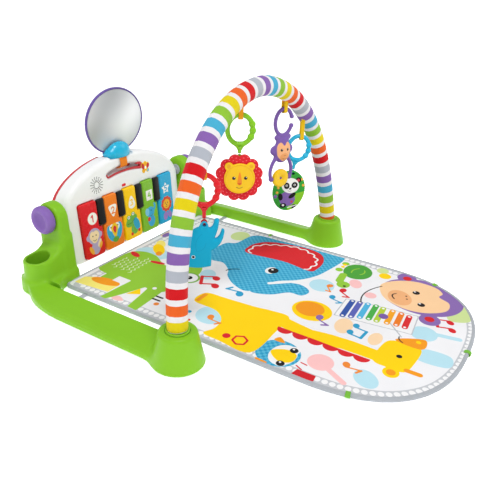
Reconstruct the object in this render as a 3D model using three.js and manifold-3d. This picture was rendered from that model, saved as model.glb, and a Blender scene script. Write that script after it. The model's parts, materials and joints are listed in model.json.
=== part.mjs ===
// Piano play gym for a baby: two green base rails carry a tilting five-key piano with a mirror, a striped
// fabric arch with hanging toys, and a padded mat on the floor between the rails.
// Millimetres. +Z up, +Y towards the piano, +X to the right as seen from the mat's rounded end.

import * as THREE from "three";
import { mergeVertices } from "three/addons/utils/BufferGeometryUtils.js";
import Module from "manifold-3d";

const wasm = await Module();
wasm.setup();

// ---------------------------------------------------------------- driving dimensions

const gap = 0.3; // between pieces that touch
const footHeight = 1.5; // rubber feet under the rails
const wall = 3; // moulded shells

// The object's middle lies this far behind the plane of the arch's feet, along +Y.
const frameMiddleY = 10.5;

// Arch: a springy tube bent between two sockets and leaning a little towards the piano.
const archHalfSpan = 312;
const archFootZ = 66; // where the tube leaves its socket
const archHalfLength = 522;
const archFootLean = 6; // degrees from upright at the socket
const archBendPower = 1.5; // the bend gathers towards the top
const archPlaneLean = 6.5; // degrees, towards the piano
const sleeveRadius = 18;
const sleeveThickness = 2.5;
const tubeRadius = 13.6;
const tubeWall = 2.5;

// Base rails, given for the left one; the right one is its mirror image.
const railInnerX = 284;
const railOuterX = 348;
const railBackY = 445;
const beamInnerZ = 30; // height of the beam along its inner side
const beamOuterZ = 15;
const bossRadius = 50;
const bossTopRadius = 33;
const socketRadius = 22;
const socketFloorZ = 14;
const towerInnerX = 202;
const towerOuterX = 232;
const towerRadius = 33;
const cupX = 274;
const cupY = 398;
const cupRimZ = 70;
const cupRadius = 30;
const cupHoleRadius = 24;
const cupDepth = 46;

// Piano, in its own frame: the origin is on the tilting axis, -Y is the front.
const pivotY = 405;
const pivotZ = 145;
const pianoLean = 5; // degrees backwards at rest
const pianoHalfWidth = 195;
const pianoBottomZ = -133;
const domeStartZ = -10;
const domeHeight = 98;
const frontFaceY = -10;
const seamY = 16; // where the white front shell meets the red rear shell
const rearDepth = 27;
const keyNames = ["red", "orange", "yellow", "green", "blue"];
const keyPitch = 64.5;
const keyWidth = 60;
const keyTopZ = 6;
const keyHeight = 131;
const keyThickness = 12;
const keyProud = 7; // the keys stand out of the front face by this much
const keyClearance = 1.2;
const blackKeyWidth = 21;
const blackKeyHeight = 62;
const slotHalfLength = 54;
const slotZ = 54;
const slotHeight = 20;
const shaftRadius = 8;
const knobRadius = 30.5;
const knobLength = 21;

// Mirror, in the piano's frame.
const mirrorRadius = 78;
const mirrorY = 14;
const mirrorTilt = 10; // degrees forward of the piano's own plane, so it leans a little over the mat
const mirrorTurn = -11; // degrees about the piano's upright axis, so it faces a little to the left
const mirrorSwing = 10; // degrees each way in the clip
const clipHalfWidth = 38;
const clipSeatZ = 80;
const mirrorFootZ = 86; // the rim's lowest point, where the mirror tilts

// Mat.
const matHalfWidth = 246;
const matBackY = 363;
const matRoundStartY = -190;
const matFrontY = -434;
const matThickness = 9;

// Hanging toys: each hangs from a fabric loop, turned about Z to face the child.
const linkHalfWidth = 24;
const linkHalfHeight = 28;
const linkWire = 4;
const tabThickness = 3;
const toyBackY = -1.8; // the toy's back face, just in front of the link's tab

const colours = {
  lime: 0x84c226,
  purple: 0x8a6db5,
  white: 0xeef0ef,
  rim: 0xcf4b52,
  red: 0xe3242b,
  orange: 0xf68b1f,
  yellow: 0xffd400,
  green: 0x86bf2f,
  blue: 0x1bb0d8,
  black: 0x1e1a1b,
  grey: 0xb9bec6,
  steel: 0xc0c2c4,
  board: 0x2c7a4b,
  silver: 0xdfe4e8,
  rubber: 0x3a3d40,
  matWhite: 0xf6f5f8,
};

// ---------------------------------------------------------------- helpers

const radians = (degrees) => (degrees * Math.PI) / 180;

// A closed three.js geometry as a manifold-3d solid, turned the right way out.
function solid(geometry) {
  const bare = new THREE.BufferGeometry();
  bare.setAttribute("position", geometry.getAttribute("position"));
  bare.setIndex(geometry.index);
  const merged = mergeVertices(bare, 1e-4);
  const vertProperties = merged.attributes.position.array;
  const triVerts = new Uint32Array(merged.index.array);
  const made = new wasm.Manifold(new wasm.Mesh({ numProp: 3, vertProperties, triVerts }));
  if (made.volume() > 0) return made;
  for (let i = 0; i < triVerts.length; i += 3) {
    [triVerts[i], triVerts[i + 1]] = [triVerts[i + 1], triVerts[i]];
  }
  return new wasm.Manifold(new wasm.Mesh({ numProp: 3, vertProperties, triVerts }));
}

function joined(...geometries) {
  return geometries.map(solid).reduce((whole, piece) => whole.add(piece));
}

function cut(body, ...tools) {
  return tools.reduce((rest, tool) => rest.subtract(tool), body);
}

// A named mesh from a geometry or a manifold-3d solid.
function piece(name, shape, colour, roughness = 0.45, metalness = 0) {
  let geometry = shape;
  if (!shape.isBufferGeometry) {
    const { vertProperties, triVerts } = shape.getMesh();
    geometry = new THREE.BufferGeometry();
    geometry.setAttribute("position", new THREE.BufferAttribute(vertProperties, 3));
    geometry.setIndex(new THREE.BufferAttribute(triVerts, 1));
    geometry.computeVertexNormals();
  }
  const material = new THREE.MeshStandardMaterial({ color: colour, roughness, metalness });
  const mesh = new THREE.Mesh(geometry, material);
  mesh.name = name;
  return mesh;
}

function outline(points) {
  return new THREE.Shape(points.map(([x, y]) => new THREE.Vector2(x, y)));
}

// A prism along +Z from 0 to depth, with rounded edges when a bevel is given.
function prism(shape, depth, bevel = 0, curveSegments = 4) {
  const settings = { depth, bevelEnabled: false, curveSegments };
  if (bevel > 0) {
    settings.bevelEnabled = true;
    settings.bevelThickness = bevel;
    settings.bevelSize = bevel;
    settings.bevelOffset = -bevel;
    settings.bevelSegments = 1;
    settings.depth = depth - 2 * bevel;
  }
  return new THREE.ExtrudeGeometry(shape, settings).translate(0, 0, bevel);
}

// A shape drawn in X and Z, running from y = start towards -Y.
function panel(shape, start, depth, bevel = 0, curveSegments = 4) {
  return prism(shape, depth, bevel, curveSegments).rotateX(Math.PI / 2).translate(0, start, 0);
}

// A shape drawn in Y and Z, running from x = start towards +X.
function crossPanel(shape, start, depth, bevel = 0, curveSegments = 4) {
  const turn = new THREE.Matrix4().makeBasis(
    new THREE.Vector3(0, 1, 0),
    new THREE.Vector3(0, 0, 1),
    new THREE.Vector3(1, 0, 0),
  );
  return prism(shape, depth, bevel, curveSegments).applyMatrix4(turn).translate(start, 0, 0);
}

function box(x0, x1, y0, y1, z0, z1) {
  const size = new THREE.BoxGeometry(x1 - x0, y1 - y0, z1 - z0);
  return size.translate((x0 + x1) / 2, (y0 + y1) / 2, (z0 + z1) / 2);
}

// A cylinder along "x", "y" or "z" that starts at the given point.
function rod(axis, radius, length, x, y, z, segments = 16) {
  const bar = new THREE.CylinderGeometry(radius, radius, length, segments);
  bar.translate(0, length / 2, 0);
  if (axis === "x") bar.rotateZ(-Math.PI / 2);
  if (axis === "z") bar.rotateX(Math.PI / 2);
  return bar.translate(x, y, z);
}

// A turned solid about a vertical axis; the profile is a list of [radius, height].
function turned(profile, x, y, segments = 20) {
  const points = profile.map(([radius, height]) => new THREE.Vector2(radius, height));
  return new THREE.LatheGeometry(points, segments).rotateX(Math.PI / 2).translate(x, y, 0);
}

// ---------------------------------------------------------------- arch

// The left half of the arch's centre line, worked out from its bend; half is 0 at the foot, 1 at the top.
function archCurve() {
  const steps = 60;
  const step = archHalfLength / steps;
  const halfPoints = [[0, 0]];
  for (let i = 0; i < steps; i += 1) {
    const along = (i + 0.5) / steps;
    const lean = radians(archFootLean + (90 - archFootLean) * along ** archBendPower);
    const [x, z] = halfPoints[i];
    halfPoints.push([x + step * Math.sin(lean), z + step * Math.cos(lean)]);
  }
  const reach = halfPoints[steps][0];
  const stretch = archHalfSpan / reach;
  const planeLean = radians(archPlaneLean);
  const place = (x, z) =>
    new THREE.Vector3(x, z * Math.sin(planeLean), archFootZ + z * Math.cos(planeLean));
  const left = halfPoints.map(([x, z]) => place((x - reach) * stretch, z));
  const right = halfPoints.slice(0, steps).reverse().map(([x, z]) => place((reach - x) * stretch, z));
  return new THREE.CatmullRomCurve3([...left, ...right]);
}

const archLine = archCurve();

// The stretch of the arch's centre line between two shares of its length.
class ArchStretch extends THREE.Curve {
  constructor(from, to) {
    super();
    this.from = from;
    this.to = to;
  }

  // Past its ends the line goes straight on, so that a bore can run out of both ends of a tube.
  getPoint(t, target = new THREE.Vector3()) {
    const share = this.from + (this.to - this.from) * t;
    const inside = Math.min(Math.max(share, 0), 1);
    const onward = archLine.getTangentAt(inside).multiplyScalar((share - inside) * 2 * archHalfLength);
    return archLine.getPointAt(inside, target).add(onward);
  }
}

function archSweep(radius, from, to, steps, sides = 12) {
  const section = new THREE.Shape().absarc(0, 0, radius, 0, 2 * Math.PI);
  const path = new ArchStretch(from, to);
  const settings = { extrudePath: path, steps, curveSegments: sides / 2, bevelEnabled: false };
  return solid(new THREE.ExtrudeGeometry(section, settings));
}

function archTube(name, from, to) {
  const bore = archSweep(tubeRadius - tubeWall, from - 0.002, to + 0.002, 12, 8);
  return piece(name, archSweep(tubeRadius, from, to, 12, 8).subtract(bore), colours.grey, 0.5);
}

// The green collar at each end of the arch, which drops into the socket on its rail.
function archPlug(name, side) {
  const plugRadius = socketRadius - gap;
  const x = side * archHalfSpan;
  const bottom = socketFloorZ + gap;
  const body = solid(rod("z", plugRadius, archFootZ - 3 - bottom, x, 0, bottom, 20));
  const stub = solid(rod("z", tubeRadius - tubeWall - 2, 7, x, 0, archFootZ - 4, 12));
  return piece(name, body.add(stub), colours.lime, 0.4);
}

function buildArch() {
  const arch = new THREE.Group();
  const footShare = 0.001;
  const middle = 0.0008;
  const sleeveShare = 0.0015;
  const sleeveBore = archSweep(sleeveRadius - sleeveThickness, 0, 1, 26, 10);
  const sleeve = archSweep(sleeveRadius, sleeveShare, 1 - sleeveShare, 26, 10).subtract(sleeveBore);
  arch.add(piece("arch_sleeve", sleeve, colours.matWhite, 0.9));
  arch.add(archTube("left_arch_tube", footShare, 0.5 - middle));
  arch.add(archTube("right_arch_tube", 0.5 + middle, 1 - footShare));
  const joiner = archSweep(tubeRadius - tubeWall - 1.5, 0.46, 0.54, 6, 8);
  arch.add(piece("arch_joiner", joiner, colours.white, 0.5));
  arch.add(archPlug("left_arch_plug", -1));
  arch.add(archPlug("right_arch_plug", 1));
  return arch;
}

// ---------------------------------------------------------------- base rails

// The left rail's footprint, taken in by an inset.
function railFootprint(inset = 0) {
  const shape = new THREE.Shape();
  const inner = -railInnerX - inset;
  const outer = -railOuterX + 1 + inset;
  const back = railBackY - inset;
  shape.moveTo(-towerInnerX - inset, back);
  shape.lineTo(-towerInnerX - inset, pivotY - towerRadius - 4 + inset);
  shape.quadraticCurveTo(inner + 2, pivotY - towerRadius - 4 + inset, inner, 318);
  shape.lineTo(inner, 0);
  shape.lineTo(outer, 0);
  shape.lineTo(outer + 4, 290);
  shape.quadraticCurveTo(outer + 9, 372, -cupX - cupRadius - 2 + inset, cupY - 8);
  shape.quadraticCurveTo(-cupX - cupRadius - 1 + inset, back, -cupX + 12, back);
  shape.closePath();
  return shape;
}

// The beam's cross-section: upright on the inside, falling away towards the outside.
function beamSection(inset) {
  const inner = -railInnerX - inset;
  const outer = -railOuterX + 1 + inset;
  const shape = new THREE.Shape();
  shape.moveTo(inner, -20);
  shape.lineTo(inner, beamInnerZ - 8 - inset);
  shape.quadraticCurveTo(inner - 1, beamInnerZ - inset, inner - 10, beamInnerZ - inset);
  shape.quadraticCurveTo((inner + outer) / 2 - 8, beamInnerZ + 2 - inset, outer + 5, beamOuterZ - inset);
  shape.quadraticCurveTo(outer, beamOuterZ - 3 - inset, outer, beamOuterZ - 8 - inset);
  shape.lineTo(outer, -20);
  shape.closePath();
  return shape;
}

function bossProfile(inset) {
  const top = archFootZ - inset;
  return [
    [0, -20],
    [bossRadius - inset, -20],
    [bossRadius - inset, 4],
    [bossRadius - 5 - inset, 26],
    [bossTopRadius + 3 - inset, top - 14],
    [bossTopRadius - inset, top - 4],
    [bossTopRadius - 6 - inset, top],
    [0, top],
  ];
}

// The upright that holds the piano: a slab with a round head, seen from the side.
function towerOutline(inset) {
  const radius = towerRadius - inset;
  const shape = new THREE.Shape();
  shape.moveTo(pivotY + radius, -20);
  shape.lineTo(pivotY + radius, pivotZ);
  shape.absarc(pivotY, pivotZ, radius, 0, Math.PI);
  shape.lineTo(pivotY - radius - 4, -20);
  shape.closePath();
  return shape;
}

// The sweep that carries the tower's outer side down to the cup, seen from the front.
function sweepOutline(inset) {
  const shape = new THREE.Shape();
  const top = pivotZ - knobRadius - 4;
  shape.moveTo(-towerInnerX - inset - 2, -20);
  shape.lineTo(-towerInnerX - inset - 2, top);
  shape.lineTo(-towerOuterX + inset, top);
  shape.quadraticCurveTo(-towerOuterX + inset, cupRimZ + 4, -cupX + inset, cupRimZ - 4 - inset);
  shape.lineTo(-cupX + inset, -20);
  shape.closePath();
  return shape;
}

function railBody(inset) {
  const beam = solid(panel(beamSection(inset), railBackY, railBackY));
  const footprint = solid(prism(railFootprint(inset), 400).translate(0, 0, -20));
  const boss = solid(turned(bossProfile(inset), -archHalfSpan, 0));
  const towerThickness = towerOuterX - towerInnerX - 2 * inset;
  const towerEdge = inset ? 0 : 5;
  const tower = solid(crossPanel(towerOutline(inset), -towerOuterX + inset, towerThickness, towerEdge, 7));
  const sweepHalf = 26 - inset;
  const sweep = solid(panel(sweepOutline(inset), cupY + sweepHalf, 2 * sweepHalf, inset ? 0 : 3));
  const cupTop = inset ? cupRimZ - cupDepth - wall : cupRimZ;
  const cup = solid(rod("z", cupRadius - inset, cupTop + 20, -cupX, cupY, -20, 18));
  const heel = solid(prism(railFootprint(inset), beamInnerZ - 2 - inset + 20).translate(0, 0, -20));
  const heelArea = solid(box(-cupX - 12, -towerInnerX + 10, 320, railBackY + 10, -30, 60));
  const whole = beam.add(tower).add(sweep).add(cup).intersect(footprint);
  return whole.add(heel.intersect(heelArea)).add(boss);
}

function railShell() {
  const below = solid(box(-400, -150, -80, 480, -60, footHeight + gap));
  const socketX = -archHalfSpan;
  const socketHeight = archFootZ - socketFloorZ + 1;
  const socketWall = solid(rod("z", socketRadius + wall, socketHeight, socketX, 0, socketFloorZ - wall, 20));
  const socket = solid(rod("z", socketRadius, 80, socketX, 0, socketFloorZ, 20));
  const cupFloorZ = cupRimZ - cupDepth;
  const cupLiner = solid(rod("z", cupHoleRadius + wall, cupDepth, -cupX, cupY, cupFloorZ - wall, 18));
  const cupHole = solid(rod("z", cupHoleRadius, 80, -cupX, cupY, cupFloorZ, 18));
  const bearingLength = towerOuterX - towerInnerX - 4;
  const bearing = solid(rod("x", shaftRadius + 5, bearingLength, -towerOuterX + 2, pivotY, pivotZ));
  const bore = solid(rod("x", shaftRadius + gap, 80, -towerOuterX - 20, pivotY, pivotZ));
  const outside = railBody(0);
  const inside = railBody(wall);
  const shell = outside.subtract(inside).add(socketWall).add(cupLiner.intersect(outside)).add(bearing);
  return cut(shell, below, socket, cupHole, bore);
}

function railCover() {
  const coverZ = footHeight + 2 * gap;
  const slab = solid(box(-400, -150, -80, 480, coverZ, coverZ + wall));
  const uprights = solid(box(-towerOuterX - 4, -190, 340, 460, -5, 20));
  return slab.intersect(railBody(wall + 1)).subtract(uprights);
}

function knob() {
  const face = new THREE.Shape().absarc(0, 0, knobRadius, 0, 2 * Math.PI);
  const body = solid(crossPanel(face, -towerOuterX - gap - knobLength, knobLength, 5, 14));
  const scoopRadius = knobRadius * 1.15;
  const scoop = new THREE.SphereGeometry(scoopRadius, 20, 14);
  scoop.translate(-towerOuterX - knobLength - scoopRadius + 9, -8, 4);
  return body.subtract(solid(scoop)).translate(0, pivotY, pivotZ);
}

function pivotShaft() {
  const start = -towerOuterX + gap;
  const reach = 11; // into the piano's hub
  const bar = solid(rod("x", shaftRadius, -pianoHalfWidth + reach - start, start, pivotY, pivotZ));
  const collar = solid(rod("x", shaftRadius + 6, 4, -towerInnerX + 2, pivotY, pivotZ));
  return bar.add(collar);
}

// One side's rail and what is fixed to it. The right side is the left one mirrored.
function buildSide(side) {
  const group = new THREE.Group();
  if (side === "right") group.scale.x = -1;
  group.add(piece(side + "_base_rail", railShell(), colours.lime, 0.4));
  group.add(piece(side + "_base_cover", railCover(), colours.lime, 0.5));
  const feet = { front: [-archHalfSpan, -18], rear: [-cupX, cupY] };
  for (const [end, [x, y]] of Object.entries(feet)) {
    const foot = rod("z", 10, footHeight + gap, x, y, 0, 16);
    group.add(piece(side + "_" + end + "_foot", foot, colours.rubber, 0.9));
  }
  group.add(piece(side + "_knob", knob(), colours.purple, 0.45));
  group.add(piece(side + "_pivot_shaft", pivotShaft(), colours.grey, 0.4));
  return group;
}

// ---------------------------------------------------------------- piano

// The piano's outline: a dome over a box with round bottom corners.
function pianoOutline(inset = 0) {
  const halfWidth = pianoHalfWidth - inset;
  const bottom = pianoBottomZ + inset;
  const corner = 30 - inset;
  const shape = new THREE.Shape();
  shape.moveTo(-halfWidth + corner, bottom);
  shape.lineTo(halfWidth - corner, bottom);
  shape.absarc(halfWidth - corner, bottom + corner, corner, -Math.PI / 2, 0);
  shape.lineTo(halfWidth, domeStartZ);
  shape.absellipse(0, domeStartZ, halfWidth, domeHeight - inset, 0, Math.PI);
  shape.lineTo(-halfWidth, bottom + corner);
  shape.absarc(-halfWidth + corner, bottom + corner, corner, Math.PI, 1.5 * Math.PI);
  return shape;
}

// The carry handle's opening, bowed to follow the dome.
function handleSlot(inset = 0) {
  const half = slotHalfLength - inset;
  const low = slotZ - slotHeight / 2 + inset;
  const high = slotZ + slotHeight / 2 - inset;
  const bow = 7;
  const shape = new THREE.Shape();
  shape.moveTo(-half, low - bow + 4);
  shape.quadraticCurveTo(0, low + bow, half, low - bow + 4);
  shape.quadraticCurveTo(half + 9, slotZ - 3, half - 4, high - bow);
  shape.quadraticCurveTo(0, high + bow, -half + 4, high - bow);
  shape.quadraticCurveTo(-half - 9, slotZ - 3, -half, low - bow + 4);
  return shape;
}

const keyX = (index) => (index - (keyNames.length - 1) / 2) * keyPitch;

// A coloured key, hanging from z = 0, with a notch beside each black key; grown by a clearance for its well.
function keyOutline(index, grow = 0) {
  const half = keyWidth / 2 + grow;
  const bottom = -keyHeight - grow;
  const radius = 9;
  const notch = (blackKeyWidth + keyWidth - keyPitch) / 2 + 1.5;
  const notchBottom = -blackKeyHeight - 1.5 + grow;
  const left = index > 0 ? -half + notch : -half;
  const right = index < keyNames.length - 1 ? half - notch : half;
  const shape = new THREE.Shape();
  shape.moveTo(-half + radius, bottom);
  shape.lineTo(half - radius, bottom);
  shape.quadraticCurveTo(half, bottom, half, bottom + radius);
  if (right < half) {
    shape.lineTo(half, notchBottom);
    shape.lineTo(right, notchBottom);
  }
  shape.lineTo(right, -4);
  shape.quadraticCurveTo(right, grow, right - 4, grow);
  shape.lineTo(left + 4, grow);
  shape.quadraticCurveTo(left, grow, left, -4);
  if (left > -half) {
    shape.lineTo(left, notchBottom);
    shape.lineTo(-half, notchBottom);
  }
  shape.lineTo(-half, bottom + radius);
  shape.quadraticCurveTo(-half, bottom, -half + radius, bottom);
  return shape;
}

function blackKeyOutline() {
  const half = blackKeyWidth / 2;
  const radius = 5;
  const shape = new THREE.Shape();
  shape.moveTo(-half + radius, -blackKeyHeight);
  shape.lineTo(half - radius, -blackKeyHeight);
  shape.quadraticCurveTo(half, -blackKeyHeight, half, -blackKeyHeight + radius);
  shape.lineTo(half, -radius);
  shape.quadraticCurveTo(half, 0, half - radius, 0);
  shape.lineTo(-half + radius, 0);
  shape.quadraticCurveTo(-half, 0, -half, -radius);
  shape.lineTo(-half, -blackKeyHeight + radius);
  shape.quadraticCurveTo(-half, -blackKeyHeight, -half + radius, -blackKeyHeight);
  return shape;
}

// The flat in the handle where the mirror's clip sits.
function clipNotch() {
  return solid(box(-clipHalfWidth - gap, clipHalfWidth + gap, -40, 80, clipSeatZ, 200));
}

function speakerHoles() {
  const holes = [];
  const spokes = 6;
  for (let i = 0; i < spokes; i += 1) {
    const angle = (2 * Math.PI * (i + 0.5)) / spokes;
    const x = -102 + 12 * Math.cos(angle);
    const z = 36 + 12 * Math.sin(angle);
    holes.push(solid(rod("y", 1.4, 20, x, frontFaceY - 5, z, 6)));
  }
  return holes;
}

function frontShell() {
  const depth = seamY - frontFaceY;
  const edge = 6;
  const outside = solid(panel(pianoOutline(), seamY + edge, depth + edge, edge, 10));
  const behind = solid(box(-260, 260, seamY, seamY + 20, -200, 200));
  const inside = solid(panel(pianoOutline(wall), seamY + 5, depth + 5 - wall, 0, 10));
  const wells = keyNames.map((name, index) => {
    const well = panel(keyOutline(index, keyClearance), 0, 30, 0, 2);
    return solid(well.translate(keyX(index), 0, keyTopZ));
  });
  const slotRing = solid(panel(handleSlot(-wall), seamY, depth, 0, 5));
  const slot = solid(panel(handleSlot(), seamY + 20, depth + 60, 0, 5));
  const hubs = [-1, 1].map((side) => {
    const start = side < 0 ? -pianoHalfWidth + 1 : pianoHalfWidth - 13;
    return solid(rod("x", shaftRadius + 4, 12, start, 0, 0));
  });
  const hubBores = solid(rod("x", shaftRadius + gap, 500, -250, 0, 0));
  const shell = outside.subtract(behind).subtract(inside).add(slotRing);
  const withHubs = hubs.reduce((whole, hub) => whole.add(hub), shell);
  return cut(withHubs, slot, hubBores, clipNotch(), ...wells, ...speakerHoles());
}

function rearShell() {
  const outside = solid(panel(pianoOutline(), seamY + gap + rearDepth, rearDepth + 20, 10, 10));
  const ahead = solid(box(-260, 260, seamY - 60, seamY + gap, -200, 200));
  const inside = solid(panel(pianoOutline(wall), seamY + gap + rearDepth - wall, rearDepth + 20, 8, 8));
  const slotRing = solid(panel(handleSlot(-wall), seamY + gap + rearDepth - 1, rearDepth - 1, 0, 5));
  const slot = solid(panel(handleSlot(), seamY + 60, 120, 0, 5));
  const doorOpening = solid(box(-48, 48, seamY + 5, seamY + 60, -94, -36));
  const sliderOpening = solid(box(70, 90, seamY + 5, seamY + 60, -10, -4));
  const shell = outside.subtract(ahead).subtract(inside).add(slotRing);
  return cut(shell, slot, doorOpening, sliderOpening, clipNotch());
}

function batteryDoor() {
  const backY = seamY + gap + rearDepth;
  const plate = solid(box(-47.6, 47.6, backY - wall, backY - 0.4, -93.6, -36.4));
  const screwHole = solid(rod("y", 3 + gap, 20, 0, backY - 10, -88, 12));
  return plate.subtract(screwHole);
}

function mirrorParts() {
  const group = new THREE.Group();
  group.position.set(0, mirrorY, mirrorFootZ);
  group.rotation.set(radians(mirrorTilt), 0, radians(mirrorTurn), "ZXY");
  const round = (radius) => new THREE.Shape().absarc(0, mirrorRadius, radius, 0, 2 * Math.PI);
  const glass = panel(round(mirrorRadius - 4), 1, 2, 0, 14);
  const rimOutside = solid(panel(round(mirrorRadius), 4, 8, 2, 14));
  const rimInside = solid(panel(round(mirrorRadius - 4 + gap), 20, 40, 0, 14));
  const back = panel(round(mirrorRadius - 4), 4, 2.6, 0, 14);
  group.add(piece("mirror_glass", glass, colours.silver, 0.05, 1));
  group.add(piece("mirror_rim", rimOutside.subtract(rimInside), colours.purple, 0.4));
  group.add(piece("mirror_back", back, colours.purple, 0.5));
  return group;
}

// The clip that stands on the handle and holds the mirror between two cheeks.
function mirrorBracket() {
  const dome = new THREE.SphereGeometry(1, 16, 10).scale(clipHalfWidth, 24, 30);
  dome.translate(0, mirrorY - 4, clipSeatZ + 10);
  const underSeat = solid(box(-100, 100, -100, 100, -100, clipSeatZ + gap));
  const disc = new THREE.Shape().absarc(0, mirrorRadius, mirrorRadius + 1, 0, 2 * Math.PI);
  const rooms = [-mirrorSwing, 0, mirrorSwing].map((swing) => {
    const room = panel(disc, 4.6, 9.2, 0, 16);
    room.rotateX(radians(mirrorTilt + swing)).rotateZ(radians(mirrorTurn));
    return solid(room.translate(0, mirrorY, mirrorFootZ));
  });
  return cut(solid(dome), underSeat, ...rooms);
}

// The fabric strap that comes down from the clip over the handle's front.
function mirrorStrap() {
  return box(-14, 8, frontFaceY - 2.5, frontFaceY - gap, slotZ - 2, clipSeatZ - 2);
}

function buildPiano() {
  const piano = new THREE.Group();
  piano.position.set(0, pivotY, pivotZ);
  piano.rotation.x = radians(-pianoLean);
  piano.add(piece("piano_front_shell", frontShell(), colours.white, 0.4));
  piano.add(piece("piano_rear_shell", rearShell(), colours.rim, 0.4));
  keyNames.forEach((name, index) => {
    const key = panel(keyOutline(index), frontFaceY - keyProud + keyThickness, keyThickness, 2.5, 3);
    const mesh = piece(name + "_key", key, colours[name], 0.35);
    mesh.position.set(keyX(index), 0, keyTopZ);
    piano.add(mesh);
  });
  for (let i = 0; i < keyNames.length - 1; i += 1) {
    const key = panel(blackKeyOutline(), frontFaceY - gap, keyProud + 2, 2.5, 3);
    const mesh = piece("black_key_" + (i + 1), key, colours.black, 0.35);
    mesh.position.set((keyX(i) + keyX(i + 1)) / 2, 0, keyTopZ);
    piano.add(mesh);
  }
  const stripY = frontFaceY - keyProud + keyThickness + 8;
  const boardY = stripY + 8;
  piano.add(piece("key_contact_strip", box(-160, 160, stripY, stripY + 4, -110, -96), colours.grey, 0.9));
  piano.add(piece("circuit_board", box(-160, 160, boardY, boardY + 1.6, -120, -90), colours.board, 0.5));
  const cone = turned([[0, 0], [9, 0], [9, 6], [16, 10], [18, 10], [18, 12], [0, 12]], 0, 0, 20);
  cone.rotateX(Math.PI / 2).translate(-102, seamY + 3, 36);
  piano.add(piece("speaker", cone, colours.rubber, 0.6));
  piano.add(piece("battery_door", batteryDoor(), colours.rim, 0.45));
  const backY = seamY + gap + rearDepth;
  piano.add(piece("battery_door_screw", rod("y", 3, 5, 0, backY - 6, -88, 12), colours.steel, 0.35, 1));
  for (let i = 0; i < 3; i += 1) {
    const cell = rod("x", 7, 50, -25, seamY + 14, -80 + 16 * i, 14);
    piano.add(piece("battery_" + (i + 1), cell, colours.steel, 0.4, 0.6));
  }
  const sliderGrip = box(74, 79.5, backY - 5, backY + 2.5, -9.6, -4.4);
  const sliderPlate = box(68, 85, backY - 6.5, backY - 3.6, -13, -1);
  piano.add(piece("volume_slider", joined(sliderGrip, sliderPlate), colours.white, 0.5));
  piano.add(piece("mirror_bracket", mirrorBracket(), colours.blue, 0.35));
  piano.add(piece("mirror_strap", mirrorStrap(), colours.orange, 0.85));
  piano.add(mirrorParts());
  return piano;
}

// ---------------------------------------------------------------- hanging toys

// Where each toy hangs: the centre of the link's wire in its loop, the way it faces, how far its lower end
// leans sideways, and the length of the link's neck, from the bottom of the ring to the toy's pivot.
const hangers = {
  lion: { at: [-64, 40, 388], facing: -50, lean: 0, neck: 25 },
  elephant: { at: [-190, 32, 306], facing: -52, lean: 0, neck: 33 },
  monkey: { at: [108, 39, 372], facing: -24, lean: 0, neck: 0 },
  panda: { at: [184, 31, 300], facing: -50, lean: 10, neck: 30 },
};

function hangerFrame(name) {
  const { at, facing } = hangers[name];
  const frame = new THREE.Group();
  frame.position.set(...at);
  frame.rotation.z = radians(facing);
  return frame;
}

// The fabric loop that hangs from the sleeve, with its upper end cut to the sleeve's surface.
function toyLoop(name, sleeveCutter) {
  const halfGap = 4.5;
  const ribbon = 1.6;
  const low = -linkWire - 3;
  const high = 70;
  const outer = new THREE.Shape();
  outer.moveTo(halfGap + ribbon, high);
  outer.lineTo(halfGap + ribbon, low + 3);
  outer.absarc(0, low + 3, halfGap + ribbon, 0, -Math.PI, true);
  outer.lineTo(-halfGap - ribbon, high);
  outer.lineTo(-halfGap, high);
  outer.lineTo(-halfGap, low + 3);
  outer.absarc(0, low + 3, halfGap, Math.PI, 2 * Math.PI);
  outer.lineTo(halfGap, high);
  outer.closePath();
  const frame = hangerFrame(name);
  frame.updateMatrix();
  const strap = crossPanel(outer, -4.5, 9, 0, 4).applyMatrix4(frame.matrix);
  const pieces = solid(strap).subtract(sleeveCutter).decompose();
  const bottom = (each) => each.boundingBox().min[2];
  return pieces.reduce((lowest, each) => (bottom(each) < bottom(lowest) ? each : lowest));
}

// The ring that hangs in the loop, its neck, the flat tab behind the toy, and the stud the toy turns on.
function link(neckLength, depth) {
  const ring = new THREE.TorusGeometry(1, linkWire / linkHalfWidth, 6, 18);
  ring.rotateX(Math.PI / 2).scale(linkHalfWidth, linkHalfWidth, linkHalfHeight);
  ring.translate(0, 0, -linkHalfHeight);
  const bottom = -2 * linkHalfHeight;
  const neck = box(-3.5, 3.5, -tabThickness / 2, tabThickness / 2, bottom - neckLength, bottom + 1);
  const tab = rod("y", 6, tabThickness, 0, -tabThickness / 2, bottom - neckLength, 16);
  const studLength = depth + 2;
  const stud = rod("y", 2.6, studLength, 0, -studLength, bottom - neckLength, 12);
  return joined(ring, neck, tab, stud);
}

// The flat body of a toy, in front of the link's tab, with the hole that its stud goes through.
function toyPlate(shape, depth, bevel, curveSegments = 8) {
  const plate = solid(panel(shape, toyBackY, depth, bevel, curveSegments));
  return plate.subtract(solid(rod("y", 3.1, 60, 0, -50, 0, 12)));
}

function maneOutline(middle) {
  const scallops = 12;
  const pointsPerScallop = 5;
  const points = [];
  for (let i = 0; i < scallops * pointsPerScallop; i += 1) {
    const angle = (2 * Math.PI * i) / (scallops * pointsPerScallop);
    const radius = 41.5 + 5.5 * Math.abs(Math.sin((scallops / 2) * angle)) ** 0.7;
    points.push([radius * Math.sin(angle), middle + radius * Math.cos(angle)]);
  }
  return outline(points);
}

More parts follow.
